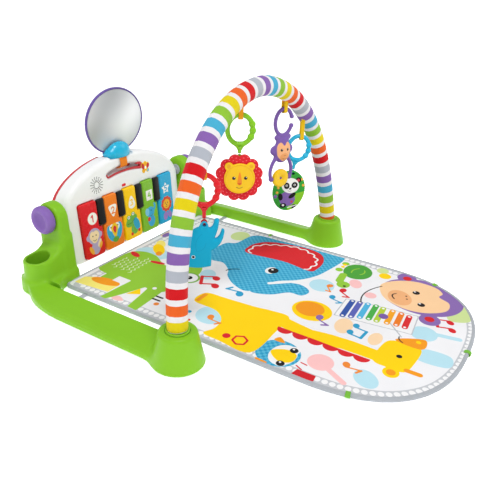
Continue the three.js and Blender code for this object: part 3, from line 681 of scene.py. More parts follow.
def rail_footprint():
    points = [(beam_inner, -30), (beam_inner, 300)]
    points += bend((beam_inner, 300), (beam_inner - 1, 348), (tower_inner, 352))
    points += [(tower_inner, 352), (tower_inner, rail_back)]
    points += bend((cup_x - 8, rail_back), (cup_x + 31, rail_back), (cup_x + 33, cup_y - 4))
    points += bend((cup_x + 33, cup_y - 4), (beam_outer - 8, 350), (beam_outer - 3, 270))
    points += [(beam_outer - 3, 270), (beam_outer, -30)]
    return np.array(points)


def rail_solid(x, y, z):
    """The rail's outer shape, without its holes."""
    u = -x
    footprint = outline_distance(rail_footprint(), u, y)
    edge = 6
    near, far = beam_inner + edge, beam_outer - edge
    section = [(near, -30), (near, 23), (far - 12, 13), (far, 7), (far, -30)]
    beam = outline_distance(np.array(section), u, z) - edge
    beam = -smooth_union(-beam, -slab(footprint, z, -60, 60, 4), 5)
    beam = np.maximum(beam, arch_y - y)
    toe = slab(footprint, z, -60, 27, 5)
    toe = np.maximum(toe, np.maximum(318 - y, u - cup_x))
    radius = 34.5 + 15 * np.clip(1 - z / boss_top, 0, 1.1) ** 1.1
    boss = slab(np.hypot(u - boss_x, y - arch_y) - radius, z, -60, boss_top, 6)
    cup_radius = 30 + 5 * np.clip(1 - z / cup_rim, 0, 1.1) ** 2
    cup = slab(np.hypot(u - cup_x, y - cup_y) - cup_radius, z, -60, cup_rim, 2.5)
    flare = 8 * np.clip((pivot.z - z) / 110, 0, 1.2)
    head = np.hypot(y - pivot.y + flare / 2, np.maximum(z - pivot.z, 0)) - tower_radius - flare / 2
    tower = slab(head, u, tower_inner, tower_outer, 8)
    top = pivot.z - 36
    sweep = [(tower_inner, -60), (tower_inner, top), (tower_outer - 8, top)]
    sweep += bend((tower_outer - 8, top), (tower_outer + 2, cup_rim + 9), (cup_x + 8, cup_rim - 2), 8)
    sweep += [(cup_x + 8, cup_rim - 2), (cup_x + 14, -60)]
    web = slab(outline_distance(np.array(sweep), u, z), y, cup_y - 29 - flare / 2, cup_y + 29, 8)
    upright = smooth_union(smooth_union(tower, web, 10), cup, 10)
    base = smooth_union(smooth_union(beam, toe, 3), boss, 14)
    return smooth_union(base, upright, 12)


def rail_field(x, y, z):
    body = rail_solid(x, y, z)
    u = -x
    socket = slab(np.hypot(u - boss_x, y - arch_y) - 22, z, 14, 120, 1)
    cup_hole = slab(np.hypot(u - cup_x, y - cup_y) - 24, z, 24, 120, 5)
    body = smooth_cut(body, cup_hole, 2)
    body = smooth_cut(body, socket, 1.5)
    pocket = np.maximum(body + 3.5, z - rail_bottom - 3.6)
    parting = np.abs(z - rail_bottom - 5) - 0.5
    groove = np.maximum(parting, -body - 0.7)
    body = np.maximum(body, -groove)
    return np.maximum(np.maximum(body, -pocket), rail_bottom - z)


def grass_cutter():
    """Thin wedges that engrave groups of grass strokes across the beam's top."""
    points, faces = [], []
    groups = ((300, 3, 22), (232, 4, 30), (150, 5, 38), (72, 5, 40))
    for middle, count, reach in groups:
        for i in range(count):
            y = middle - 8 * i
            start = beam_inner + 8 + 3 * ((i * 3) % count)
            end = min(start + reach * (0.75 + 0.25 * math.sin(2.1 * i)), beam_outer - 17)
            slant = 4
            first = len(points)
            sections = ((start, 0, 0.15), ((start + end) / 2, slant * 0.6, 0.9), (end, slant, 0.15))
            for u, offset, half in sections:
                top = 29.2 - (u - beam_inner - 6) * 10 / 39
                middle_y = y - offset
                points += [(-u, middle_y + side * half, top + 6) for side in (-1, 1)]
                points += [(-u, middle_y, top - 1.0)]
            for k in (0, 3):
                a, b = first + k, first + k + 3
                faces += [(a, b, b + 1, a + 1), (a + 1, b + 1, b + 2, a + 2), (a + 2, b + 2, b, a)]
            faces += [(first, first + 1, first + 2), (first + 8, first + 7, first + 6)]
    cutter = new_mesh("grass_cutter", points, faces)
    cutter.data.shade_flat()
    return cutter


def carve(piece, cutter):
    """Cuts one mesh from another, and removes the cutter."""
    modifier = piece.modifiers.new("carve", "BOOLEAN")
    modifier.operation = "DIFFERENCE"
    modifier.solver = "EXACT"
    modifier.object = cutter
    with bpy.context.temp_override(object=piece, active_object=piece):
        bpy.ops.object.modifier_apply(modifier=modifier.name)
    bpy.data.objects.remove(cutter)


def make_rails():
    low, high = box_mm("left_base_rail")
    left = surface("left_rail_shell", rail_field, low - 1, high + 1, 1.6)
    carve(left, grass_cutter())
    right = mirrored(left, "right_rail_shell")
    for piece, side in ((left, "left"), (right, "right")):
        dress(piece, lime_plastic, "base", [side + "_base_rail"])


def make_plugs():
    """The green collar round the foot of the arch."""
    for side, sign in (("left", -1), ("right", 1)):
        low, high = box_mm(side + "_arch_plug")
        profile = [(0, low[2])] + arc(20.7, low[2] + 1, 1, 1, -90, 0, 4)
        profile += arc(19.7, high[2] - 3, 2, 2, 0, 90, 5)
        profile += [(18.6, high[2] - 1.4), (0, high[2] - 1.6)]
        piece = turned(side + "_collar", profile, Matrix.Translation((sign * boss_x, arch_y, 0)))
        dress(piece, lime_plastic, "arch", [side + "_arch_plug"])


def knob_field(x, y, z):
    """The left knob, its axis through the origin along X, dished at its outer end."""
    swell = np.sin(math.pi * np.clip(-x / knob_length, 0, 1))
    radius = 28.6 + 1.7 * swell
    barrel = slab(np.hypot(y, z) - radius, x, -knob_length - 0.3, -0.8, 6.5)
    dish = np.sqrt((x + knob_length + 18) ** 2 + ((y - 1) / 0.92) ** 2 + ((z + 1) / 1.04) ** 2) - 27
    neck = slab(np.hypot(y, z) - 25, x, -3, -0.3, 0.3)
    return np.minimum(smooth_cut(barrel, dish, 3.5), neck)


def make_knobs():
    place = Matrix.Translation((-tower_outer, pivot.y, pivot.z))
    left = surface("left_knob_grip", knob_field, (-26, -34, -34), (1, 34, 34), 1.2, place)
    right = mirrored(left, "right_knob_grip")
    for piece, side in ((left, "left"), (right, "right")):
        dress(piece, purple_plastic, side + "_knob", [side + "_knob"])


make_rails()
make_plugs()
make_knobs()

# ---------------------------------------------------------------- piano

piano_half = 195
piano_bottom = -133
front_face = -10
seam = 28  # where the white shell meets the red one
back_face = 43.3


def piano_outline(inset=0.0):
    half = piano_half - inset
    bottom = piano_bottom + inset
    corner = 30 - inset
    points = arc(half - corner, bottom + corner, corner, corner, -90, 0, 8)
    points += arc(0, -10, half, 98 - inset, 0, 180, 40)
    points += arc(-half + corner, bottom + corner, corner, corner, 180, 270, 8)
    return np.array(points)


def slot_outline(inset=0.0):
    """The carry handle's opening, bowed to follow the dome."""
    half, low, high, bow = 54 - inset, 45 + inset, 60 - inset, 7
    points = bend((-half, low - bow + 4), (0, low + bow), (half, low - bow + 4))
    points += bend((half, low - bow + 4), (half + 9, 51), (half - 4, high - bow))
    points += bend((half - 4, high - bow), (0, high + bow), (-half + 4, high - bow))
    points += bend((-half + 4, high - bow), (-half - 9, 51), (-half, low - bow + 4))
    return np.array(points)


key_names = list(KEY_COLOURS)
key_boxes = {name: box_mm(name + "_key") for name in key_names}
key_x = {name: (key_boxes[name][0][0] + key_boxes[name][1][0]) / 2 for name in key_names}
key_width = key_boxes["red"][1][0] - key_boxes["red"][0][0]
key_pitch = key_x["orange"] - key_x["red"]
key_top, key_height = 6, 131
key_front, key_back = -17, -5
black_width, black_height = 21, 62


def key_outline(index, grow=0.0):
    """A coloured key hanging from z = 0, with a notch beside each black key."""
    half, bottom = key_width / 2 + grow, -key_height - grow
    notch = (black_width + key_width - key_pitch) / 2 + 1.5
    step = -black_height - 1.5 + grow
    left = -half + notch if index > 0 else -half
    right = half - notch if index < len(key_names) - 1 else half
    radius = 8 + grow
    points = arc(half - radius, bottom + radius, radius, radius, -90, 0, 6)
    if right < half:
        points += arc(half - 2, step - 2, 2, 2, 0, 90, 3) + [(right, step)]
    top = 5 + grow
    points += arc(right - top, grow - top, top, top, 0, 90, 5)
    points += arc(left + top, grow - top, top, top, 90, 180, 5)
    if left > -half:
        points += [(left, step)] + arc(-half + 2, step - 2, 2, 2, 90, 180, 3)
    points += arc(-half + radius, bottom + radius, radius, radius, 180, 270, 6)
    return np.array(points)


def front_field(x, y, z):
    outline = outline_distance(piano_outline(), x, z)
    body = slab(outline, y, front_face, 60, 12)
    for index, name in enumerate(key_names):
        well = outline_distance(key_outline(index, 1.1), x - key_x[name], z - key_top)
        body = smooth_cut(body, slab(well, y, -60, 3, 1), 1.2)
    slot = outline_distance(slot_outline(), x, z)
    funnel = slot - 5 * np.clip((front_face + 6 - y) / 6, 0, 1) ** 1.5
    body = smooth_cut(body, funnel, 2.5)
    notch = slab(np.abs(x) - 38.3, z, 80.2, 200, 1)
    body = smooth_cut(body, notch, 1)
    hollow = np.maximum(slab(outline + 4, y, 6, 60, 4), -(slot - 5))
    body = np.maximum(body, -hollow)
    return np.maximum(body, y - seam)


def rear_field(x, y, z):
    outline = outline_distance(piano_outline(), x, z)
    body = slab(outline + 0.6, y, -40, back_face, 11)
    slot = outline_distance(slot_outline(), x, z)
    body = smooth_cut(body, slot - 0.2, 1.5)
    notch = slab(np.abs(x) - 38.3, z, 80.2, 200, 1)
    body = smooth_cut(body, notch, 1)
    door = slab(np.maximum(np.abs(x) - 48, np.abs(z + 65) - 29), y, back_face - 3.2, 80, 0.5)
    body = np.maximum(body, -door)
    slider = slab(np.maximum(np.abs(x - 80) - 10, np.abs(z + 7) - 3), y, back_face - 7, 80, 0.3)
    body = np.maximum(body, -slider)
    return np.maximum(body, seam + 0.3 - y)


def make_shells():
    low, high = (-piano_half - 2, front_face - 1, piano_bottom - 2), (piano_half + 2, seam + 1, 92)
    front = surface("piano_front", front_field, low, high, 1.5, piano_frame)
    dress(front, white_plastic, "piano", ["piano_front_shell"])
    low, high = (-piano_half - 2, seam - 1, piano_bottom - 2), (piano_half + 2, back_face + 1, 92)
    rear = surface("piano_back", rear_field, low, high, 1.9, piano_frame)
    dress(rear, rim_plastic, "piano", ["piano_rear_shell"])


def slot_liner_field(x, y, z):
    """The red lip along the slot's lower edge, thickest at its right end."""
    slot = outline_distance(slot_outline(), x, z)
    share = np.clip((x + 56) / 112, 0, 1)
    lip = np.abs(slot - 0.2) - 0.7 - 2.6 * share**2
    lower = z - 50 - 9 * np.clip((x - 34) / 20, 0, 1)
    return slab(np.maximum(lip, lower), y, front_face - 0.2, front_face + 8, 0.5)


def make_slot_liner():
    liner = surface("handle_slot_liner", slot_liner_field, (-66, -9, 36), (66, 2, 72), 0.8, piano_frame)
    dress(liner, rim_plastic, "piano")


def beads(name, places, radius, flat=1.0, place=None, axis=1, segments=10):
    """Many small round studs as one piece."""
    points, faces = [], []
    rings = segments // 2
    for centre in places:
        first = len(points)
        for i in range(rings + 1):
            tilt = math.pi * i / rings
            for j in range(segments):
                turn = 2 * math.pi * j / segments
                level = radius * math.sin(tilt)
                p = [level * math.cos(turn), level * math.sin(turn), radius * math.cos(tilt)]
                p[axis] *= flat
                points.append([centre[a] + p[a] for a in range(3)])
        for i in range(rings):
            for j in range(segments):
                k = (j + 1) % segments
                a, b = first + i * segments, first + (i + 1) * segments
                faces.append((a + j, b + j, b + k, a + k))
    made = new_mesh(name, points, faces, place)
    modifier = made.modifiers.new("weld", "WELD")
    modifier.merge_threshold = 0.00001
    with bpy.context.temp_override(object=made, active_object=made):
        bpy.ops.object.modifier_apply(modifier="weld")
    return made


def make_speaker_dots():
    spokes, dots = 16, 4
    places = []
    for i in range(spokes):
        turn = 2 * math.pi * (i + 0.5) / spokes
        for k in range(dots):
            reach = 8 + 3.4 * k
            places.append((-94 + reach * math.cos(turn), front_face, 36 + reach * math.sin(turn)))
    dots_piece = beads("speaker_grille_dots", places, 1.25, 0.3, piano_frame)
    dress(dots_piece, plastic("grille_shadow", "2E2E32", 0.8), "piano")


def make_badges():
    """A printed flower badge and a small red pill on the front shell, both without lettering."""
    place = piano_frame @ Matrix.Translation((71, front_face - 0.1, 37))
    petals = [(-8, 6, 7.5), (8, 5, 7), (0, 10, 6), (-7, -7, 6), (7, -8, 5)]

    def flower(x, y, z):
        flat = np.hypot(x, z) - 8
        for px, pz, radius in petals:
            flat = smooth_union(flat, np.hypot(x - px, z - pz) - radius, 2)
        return slab(flat, y, -0.5, 0.4, 0.3)

    badge_piece = surface("front_badge", flower, (-17, -1, -17), (17, 1, 17), 0.45, place)
    layers = [
        ("C9252C", [oval(-9, 4, 5.2, 8, 10), oval(9, 3, 5, 7, -10)]),
        ("F0A422", [disc(0, 9, 4.4), disc(-6, -7, 4)]),
        ("5DB9DC", [disc(8, -8, 3.4)]),
        ("FFFFFF", [disc(0, 0, 3.4)]),
    ]
    front_ink(badge_piece, layers, place)
    nodes = Nodes("badge_print", 0.35)
    dress(badge_piece, moulded(nodes, inked(nodes, "F2C81C", layers)), "piano")

    def pill(x, y, z):
        flat = np.hypot(np.maximum(np.abs(x) - 3.5, 0), z) - 3.2
        return slab(flat, y, -0.6, 0.5, 0.3)

    place = piano_frame @ Matrix.Translation((-10, front_face, 14))
    piece = surface("front_pill", pill, (-7, -1, -4), (7, 1, 4), 0.35, place)
    dress(piece, red_plastic, "piano")


# Key prints, in each key's own plane: x to the right, z up from the key's top edge.
def badge(index):
    """A white badge, a different shape on each key."""
    x, z = 2, -38
    if index == 0:
        return [disc(x, z, 11)]
    if index == 1:
        return [blob([(x - 10, z + 8), (x, z + 11), (x + 10, z + 8), (x + 5, z - 6), (x, z - 12),
            (x - 5, z - 6)])]
    if index == 2:
        return [blob([(x, z + 13), (x + 8, z + 1), (x + 8, z - 8), (x, z - 12), (x - 8, z - 8),
            (x - 8, z + 1)])]
    if index == 3:
        return [area([(x - 9, z - 10), (x + 9, z - 10), (x + 9, z + 10), (x - 9, z + 10)])]
    points = []
    for i in range(10):
        reach = 12.5 if i % 2 == 0 else 7
        turn = math.pi / 2 + math.pi * i / 5
        points.append((x + reach * math.cos(turn), z + reach * math.sin(turn)))
    return [area(points)]


def digit(index):
    x, z, pen = 2, -38, 3.0
    strokes = {
        0: [[(-3, 3), (0.5, 6), (0.5, -6)]],
        1: [bend((-3.5, 3.5), (0, 9), (3.5, 3.5), 5) + bend((3.5, 3.5), (3.5, 0), (-3.5, -5.5),
            5) + [(-3.5, -5.5), (4, -5.5)]],
        2: [bend((-3.5, 4.5), (5.5, 7.5), (0, 0.5), 6) + bend((0, 0.5), (6.5, -5.5), (-3.8, -5),
            6) + [(-3.8, -5)]],
        3: [[(1, 6), (-4, -1.5), (4, -1.5)], [(2, 2), (2, -6)]],
        4: [[(3.5, 5.5), (-2.5, 5.5), (-3, 1)],
            bend((-3, 1), (6.5, 1.5), (1.5, -4.5), 6) + [(1.5, -4.5), (-3.5, -5)]],
    }
    return [line([(x + a, z + b) for a, b in points], pen * 0.78) for points in strokes[index]]


def key_animal(index):
    """A small generic animal in flat colours, its head about 22 mm across."""
    x, z = 0, -92
    outline = "2D2B2E"
    if index == 0:
        return [
            ("B7A5CC", [disc(x, z + 8, 13.5), disc(x - 12, z + 8, 5), disc(x + 12, z + 8, 5),
                oval(x, z - 12, 9, 11)]),
            ("F6D9AE", [oval(x - 3.6, z + 9, 6.5, 8), oval(x + 3.6, z + 9, 6.5, 8), disc(x, z + 3, 6.5),
                oval(x + 9, z - 6, 3, 7, -30)]),
            ("F2A83B", [oval(x - 9, z - 14, 3.6, 8, 25), oval(x + 11, z - 10, 3, 6, -30)]),
            (outline, [disc(x - 3.5, z + 9, 1.2), disc(x + 3.5, z + 9, 1.2),
                curve_line((x - 3.5, z + 2), (x, z - 1.5), (x + 3.5, z + 2), 1)]),
        ]
    if index == 1:
        return [
            ("38A9D6", [oval(x - 9, z, 8, 15, 15), oval(x + 9, z, 8, 15, -15)]),
            ("F6F4F2", [disc(x - 6, z + 9, 6), disc(x + 6, z + 9, 6)]),
            ("F3C51B", [blob([(x - 8, z + 8), (x, z + 16), (x + 8, z + 8), (x + 3, z - 6), (x, z - 10),
                (x - 3, z - 6)])]),
            ("D9322B", [blob([(x - 4, z + 6), (x, z + 11), (x + 4, z + 6), (x, z - 2)])]),
            ("5FA43A", [oval(x, z - 13, 7, 5)]),
            (outline, [disc(x - 8, z + 10, 1.3), disc(x + 8, z + 10, 1.3)]),
        ]
    if index == 2:
        return [
            ("6FB243", [oval(x - 4, z + 6, 15, 9, 25), disc(x - 10, z + 12, 5), disc(x + 1, z + 16, 5),
                oval(x + 2, z - 10, 9, 10, -20)]),
            ("2BA3C8", [oval(x + 8, z - 3, 7, 12, 20)]),
            ("F4F2EE", [disc(x - 10, z + 13, 2.8), disc(x + 1, z + 17, 2.8)]),
            ("D9322B", [disc(x + 12, z - 16, 3), disc(x - 6, z - 18, 3)]),
            (outline, [disc(x - 10, z + 13, 1.3), disc(x + 1, z + 17, 1.3),
                curve_line((x - 14, z + 2), (x - 4, z), (x + 4, z + 8), 1)]),
        ]
    if index == 3:
        return [
            ("3AA7D4", [disc(x, z + 6, 10), oval(x + 1, z - 10, 9, 11),
                line(bend((x + 8, z + 8), (x + 16, z + 12), (x + 11, z + 22), 6), 5)]),
            ("7CC4E4", [oval(x - 8, z + 8, 5, 7)]),
            ("D9322B", [disc(x - 5, z - 6, 4)]),
            (outline, [disc(x + 2, z + 9, 1.3), curve_line((x - 1, z), (x + 3, z - 2), (x + 6, z + 1), 1)]),
        ]
    turns = [math.pi * i / 5 for i in range(10)]
    spokes = [disc(x + 10.5 * math.cos(t), z + 8 + 10.5 * math.sin(t), 4.4) for t in turns]
    return [
        ("D9482B", spokes + [disc(x, z + 8, 11)]),
        ("F5B52A", [disc(x, z + 8, 9)]),
        ("9C7CC0", [oval(x - 5, z - 14, 6, 8, -15), oval(x + 7, z - 14, 5, 7, 20)]),
        (outline, [disc(x - 3.2, z + 10, 1.2), disc(x + 3.2, z + 10, 1.2), disc(x, z + 6.5, 1.3),
            curve_line((x - 3, z + 4), (x, z + 1.5), (x + 3, z + 4), 0.9)]),
    ]


badge_middle, badge_growth = (2, -36), 1.28
animal_middle, animal_growth = (0, -92), 1.42


def make_keys():
    for index, name in enumerate(key_names):
        outline = key_outline(index)

        def field(x, y, z, outline=outline):
            crown = 0.9 * (1 - np.clip(np.abs(x) / (key_width / 2), 0, 1) ** 2.5)
            return slab(outline_distance(outline, x, z), y + crown, key_front + 0.9, key_back + 0.9, 3.2)

        place = piano_frame @ Matrix.Translation((key_x[name], 0, key_top))
        half = key_width / 2
        box_low, box_high = (-half, key_front, -key_height), (half, key_back, 0)
        key = surface(name + "_key_cap", field, box_low, box_high, 1.15, place)
        layers = [("F7F4EE", enlarged(badge(index), badge_middle, badge_growth))]
        layers += [(KEY_COLOURS[name], enlarged(digit(index), badge_middle, badge_growth))]
        layers += [(code, enlarged(shapes, animal_middle, animal_growth)) for code,
            shapes in key_animal(index)]
        front_ink(key, layers, place)
        nodes = Nodes(name + "_key_plastic", 0.26, Specular_IOR_Level=0.25)
        material = moulded(nodes, inked(nodes, KEY_COLOURS[name], layers), 0.00002, 0.03)
        dress(key, material, name + "_key", [name + "_key"])
    for number in range(1, len(key_names)):
        low, high = box_mm(f"black_key_{number}")
        middle = (low[0] + high[0]) / 2
        half = black_width / 2
        outline = arc(half - 5, -black_height + 5, 5, 5, -90, 0, 6) + arc(half - 4, -4, 4, 4, 0, 90, 5)
        outline += arc(-half + 4, -4, 4, 4, 90, 180, 5) + arc(-half + 5, -black_height + 5, 5, 5, 180,
            270, 6)
        outline = np.array(outline)

        def field(x, y, z, outline=outline):
            crown = 1.2 * (1 - np.clip(np.abs(x) / half, 0, 1) ** 2)
            return slab(outline_distance(outline, x, z), y + crown, -18.1, -10.3 + 1.2, 3.5)

        place = piano_frame @ Matrix.Translation((middle, 0, key_top))
        box_low, box_high = (-half, -19.3, -black_height), (half, -10, 0)
        key = surface(f"black_key_cap_{number}", field, box_low, box_high, 1.2, place)
        dress(key, black_plastic, "piano", [f"black_key_{number}"])


make_shells()
make_slot_liner()
make_speaker_dots()
make_badges()
make_keys()

# ---------------------------------------------------------------- mirror and clip

mirror_radius = 78
mirror_tilt = 10  # degrees forward of the piano's own plane
mirror_turn = -11  # degrees about the piano's upright axis
mirror_foot = joint_at["mirror_tilt"]
mirror_foot_y, mirror_foot_z = 14, 86  # the same place in the piano's own frame
mirror_frame = Matrix.Translation(mirror_foot) @ Matrix.Rotation(math.radians(-piano_lean), 4, "X")
mirror_frame @= Matrix.Rotation(math.radians(mirror_turn), 4, "Z")
mirror_frame @= Matrix.Rotation(math.radians(mirror_tilt), 4, "X")
mirror_middle = mirror_frame @ Matrix.Translation((0, 0, mirror_radius))
mirror_middle @= Matrix.Rotation(math.radians(90), 4, "X")


def mirror_material():
    """Silvered film, partly metallic, with soft diagonal streaks of painted reflection in its colour, too
    wavy to mirror sharply.
    """
    nodes = Nodes("mirror_film", 0.42, Metallic=0.55)
    separate = nodes.add("ShaderNodeSeparateXYZ", {"Vector": nodes.coordinates})
    # Painted reflection: the next lines band the colour in soft diagonal grey and white streaks.
    slope = nodes.math("MULTIPLY", separate.outputs["Z"], -5.0)
    slope = nodes.math("ADD", nodes.math("MULTIPLY", separate.outputs["X"], 9.0), slope)
    ripple = nodes.math("ADD", slope, nodes.scaled(nodes.noise(6, 1), 0, 1, -0.35, 0.35))
    band = nodes.math("SINE", nodes.math("MULTIPLY", ripple, 4.0))
    nodes.colour(nodes.mix(nodes.scaled(band, -1, 1, 0, 1), linear("B9BDBF"), linear("E9EBEC")))
    nodes.link(nodes.bump(nodes.noise(9, 1), 0.002, 0.35), "Normal")
    return nodes.material


def make_mirror():
    inner = mirror_radius - 4
    profile = [(0, -1.2), (inner - 1, -0.6), (inner, 0), (inner, 2.6), (inner - 1, 3.2), (0, 3.6)]
    glass = turned("mirror_face", profile, mirror_middle, 96)
    dress(glass, mirror_material(), "mirror", ["mirror_glass"])
    back = turned("mirror_backplate", rounded_profile(inner, -3.9, -1.4, 0.8), mirror_middle, 96)
    dress(back, purple_plastic, "mirror", ["mirror_back"])
    turns = np.linspace(0, 2 * math.pi, 17)[:-1]
    section = [(mirror_radius - 2.2 + 2.0 * math.cos(t), 3.9 * math.sin(t)) for t in turns]
    rim = lathe_ring("mirror_rim_ring", section, mirror_middle, 112)
    dress(rim, plastic("rim_purple_plastic", "65509A", 0.4), "mirror", ["mirror_rim"])


def clip_field(x, y, z):
    """The clip, in the piano's frame: a glossy dome with a lobe at its left, and a slit for the mirror."""
    dome = ellipsoid(x, y, z, (1, 6, 91), (33, 22, 27))
    lobe = ellipsoid(x, y, z, (-27, 9, 90), (11, 17, 13))
    neck = ellipsoid(x, y, z, (-3, 2, 82), (18, 15, 16))
    body = smooth_union(smooth_union(dome, lobe, 5), neck, 6)
    body = np.maximum(body, 80.4 - z)
    slit = np.full(np.broadcast(x, y, z).shape, np.inf)
    facing = math.radians(mirror_turn)
    back, up = y - mirror_foot_y, z - mirror_foot_z
    sideways = x * math.cos(facing) + back * math.sin(facing)
    behind = back * math.cos(facing) - x * math.sin(facing)
    for swing in (-9, -4, 0, 4, 9):
        tilt = math.radians(mirror_tilt + swing)
        across = behind * math.cos(tilt) + up * math.sin(tilt)
        height = up * math.cos(tilt) - behind * math.sin(tilt)
        flat = np.hypot(sideways, height - mirror_radius) - mirror_radius - 0.8
        slit = np.minimum(slit, slab(flat, across, -4.4, 4.4, 0.5))
    return smooth_cut(body, slit, 0.8)


def make_clip():
    clip = surface("mirror_clip", clip_field, (-42, -18, 79), (40, 30, 121), 1.0, piano_frame)
    dress(clip, cyan_plastic, "piano", ["mirror_bracket"])


def make_strap():
    """The orange strap under the clip: down the handle's front, then turned into the slot."""
    path = [(0, 82), (-0.5, 78), (-1.2, 74), (-1.6, 69), (-1.6, 64), (-1.2, 60), (0.8, 57.6), (5, 56.4),
        (12, 56)]
    path = [(front_face - 1.4 + y, z) for y, z in path]
    half, thick = 11, 0.9
    points = []
    for i, (y, z) in enumerate(path):
        ahead = path[min(i + 1, len(path) - 1)]
        behind = path[max(i - 1, 0)]
        tangent = Vector((ahead[0] - behind[0], ahead[1] - behind[1])).normalized()
        out = (tangent[1], -tangent[0])
        drift = -1.2 * max(0, i - 4)
        for x, side in ((-half, 1), (half, 1), (half, -1), (-half, -1)):
            points.append((-3 + x + drift, y + out[0] * thick * side, z + out[1] * thick * side))
    faces = tube_faces(len(path), 4, False)
    faces += [(3, 2, 1, 0), tuple(4 * (len(path) - 1) + k for k in range(4))]
    strap = new_mesh("clip_strap", points, faces, piano_frame)
    bevel = strap.modifiers.new("edges", "BEVEL")
    bevel.width, bevel.segments = 0.0004, 2
    smooth = strap.modifiers.new("smooth", "SUBSURF")
    smooth.levels = smooth.render_levels = 2
    material = fabric("orange_webbing", ORANGE, 0.75, 800, 0.0002)
    dress(strap, material, "piano", ["mirror_strap"])


make_mirror()
make_clip()
make_strap()

# ---------------------------------------------------------------- arch

arch_half_span = boss_x
arch_half_length = 522
arch_foot_lean, arch_bend_power, arch_plane_lean = 6, 1.5, 6.5


def arch_line(count=260):
    """The arch's centre line: the tube's lean grows from foot to top, in a plane that leans to the piano."""
    steps = 60
    along = (np.arange(steps) + 0.5) / steps
    lean = np.radians(arch_foot_lean + (90 - arch_foot_lean) * along**arch_bend_power)
    x = np.concatenate([[0], np.cumsum(np.sin(lean))]) * arch_half_length / steps
    z = np.concatenate([[0], np.cumsum(np.cos(lean))]) * arch_half_length / steps
    x = (x - x[-1]) * arch_half_span / x[-1]
    tilt = math.radians(arch_plane_lean)
    left = np.column_stack([x, arch_y + z * math.sin(tilt), boss_top + z * math.cos(tilt)])
    right = left[:-1][::-1] * [-1, 1, 1]
    whole = np.concatenate([left, right])
    reach = np.concatenate([[0], np.cumsum(np.linalg.norm(np.diff(whole, axis=0), axis=1))])
    wanted = np.linspace(0, reach[-1], count)
    return np.column_stack([np.interp(wanted, reach, whole[:, a]) for a in range(3)]), reach[-1]


def make_sleeve():
    count, sides, radius = 420, 48, 18.0
    line_points, total = arch_line(count)
    tangent = np.gradient(line_points, axis=0)
    tangent /= np.linalg.norm(tangent, axis=1)[:, None]
    side = np.array([0, math.cos(math.radians(arch_plane_lean)), -math.sin(math.radians(arch_plane_lean))])
    along = np.linspace(0, total, count)
    points, around_all, along_all = [], [], []
    for i in range(count):
        out = np.cross(side, tangent[i])
        angles = 2 * math.pi * np.arange(sides) / sides
        pucker = 0.25 * np.sin(along[i] * 0.9 + 2 * np.sin(3 * angles))
        pucker += 0.18 * np.sin(along[i] * 0.37 + 5 * angles)
        seam_ridge = 1.0 * np.exp(-(((angles - 1.5 * math.pi) / 0.09) ** 2))
        end = min(along[i], total - along[i])
        tuck = -1.6 * math.exp(-end / 2.5)
        r = radius + 0.25 * pucker + seam_ridge + tuck
        points.append(line_points[i] + np.outer(np.cos(angles) * r, side) + np.outer(np.sin(angles) * r,
            out))
        around_all.append(angles * radius)
        along_all.append(np.full(sides, along[i]))
    sleeve = new_mesh("striped_sleeve", np.concatenate(points), tube_faces(count, sides, False))
    for name, values in (("along", along_all), ("around", around_all)):
        attribute = sleeve.data.attributes.new(name, "FLOAT", "POINT")
        attribute.data.foreach_set("value", np.concatenate(values).astype(np.float32))
    nodes = Nodes("striped_fabric", 0.82, Sheen_Weight=0.06, Sheen_Roughness=0.5)
    stripe = total / 36.4
    place = nodes.math("DIVIDE", nodes.math("ADD", nodes.attribute("along"), -1.5), stripe)
    wobble = nodes.scaled(nodes.noise(60, 2), 0.3, 0.7, -0.015, 0.015)
    place = nodes.math("ADD", place, wobble)
    number = nodes.math("FLOOR", place)
    within = nodes.math("SUBTRACT", place, number)
    cycle = nodes.math("DIVIDE", nodes.math("ADD", nodes.math("FLOORED_MODULO", number, 7.0), 0.5), 7.0)
    ramp = nodes.add("ShaderNodeValToRGB", {"Fac": cycle})
    ramp.color_ramp.interpolation = "CONSTANT"
    for i, code in enumerate(STRIPES):
        stop = ramp.color_ramp.elements[i] if i < 2 else ramp.color_ramp.elements.new(i / 7)
        stop.position = i / 7
        stop.color = linear(code)
    white = nodes.scaled(within, 0.64, 0.66, 0, 1)
    colour = nodes.mix(white, ramp.outputs["Color"], linear(STRIPE_WHITE))
    along_m = nodes.math("MULTIPLY", nodes.attribute("along"), MM)
    around_m = nodes.math("MULTIPLY", nodes.attribute("around"), MM)
    woven(nodes, colour, along_m, around_m, threads=1100, depth=0.00022, tone=0.1)
    cloth = sleeve.modifiers.new("cloth", "SOLIDIFY")
    cloth.thickness = 0.0009
    cloth.offset = -1
    dress(sleeve, nodes.material, "arch", ["arch_sleeve"])


make_sleeve()

# ---------------------------------------------------------------- hanging toys

link_wire, ring_half_width, ring_half_height = 4, 24, 28
ring_bottom = -2 * ring_half_height
necks = {"lion": 25, "elephant": 33, "panda": 30}  # from a ring's bottom to its toy's pivot
panda_lean = 10  # degrees that the panda and its ring lean sideways in their loop


def ring_field(x, y, z):
    """The ring's wire, with three balls down its right side."""
    flat = oval(0, -ring_half_height, ring_half_width, ring_half_height)(x, z)
    body = np.hypot(flat, y) - link_wire - 0.7
    for turn in (22, -4, -30):
        a = math.radians(turn)
        right, height = ring_half_width * math.cos(a), ring_half_height * (math.sin(a) - 1)
        ball = np.sqrt((x - right) ** 2 + y**2 + (z - height) ** 2) - 6.6
        body = smooth_union(body, ball, 1.2)
    return body


def leaning_frame(toy):
    """A toy's hanging frame, leaning as its ring does."""
    joint = {"lion": "green_link", "elephant": "red_link", "panda": "blue_link"}[toy] + "_swing"
    lean = panda_lean if toy == "panda" else 0
    return hanger_frame(joint) @ Matrix.Rotation(math.radians(lean), 4, "Y")


def toy_frame(toy):
    """A toy's own frame: its origin is on the pin that the toy turns on."""
    return leaning_frame(toy) @ Matrix.Translation((0, 0, ring_bottom - necks[toy]))


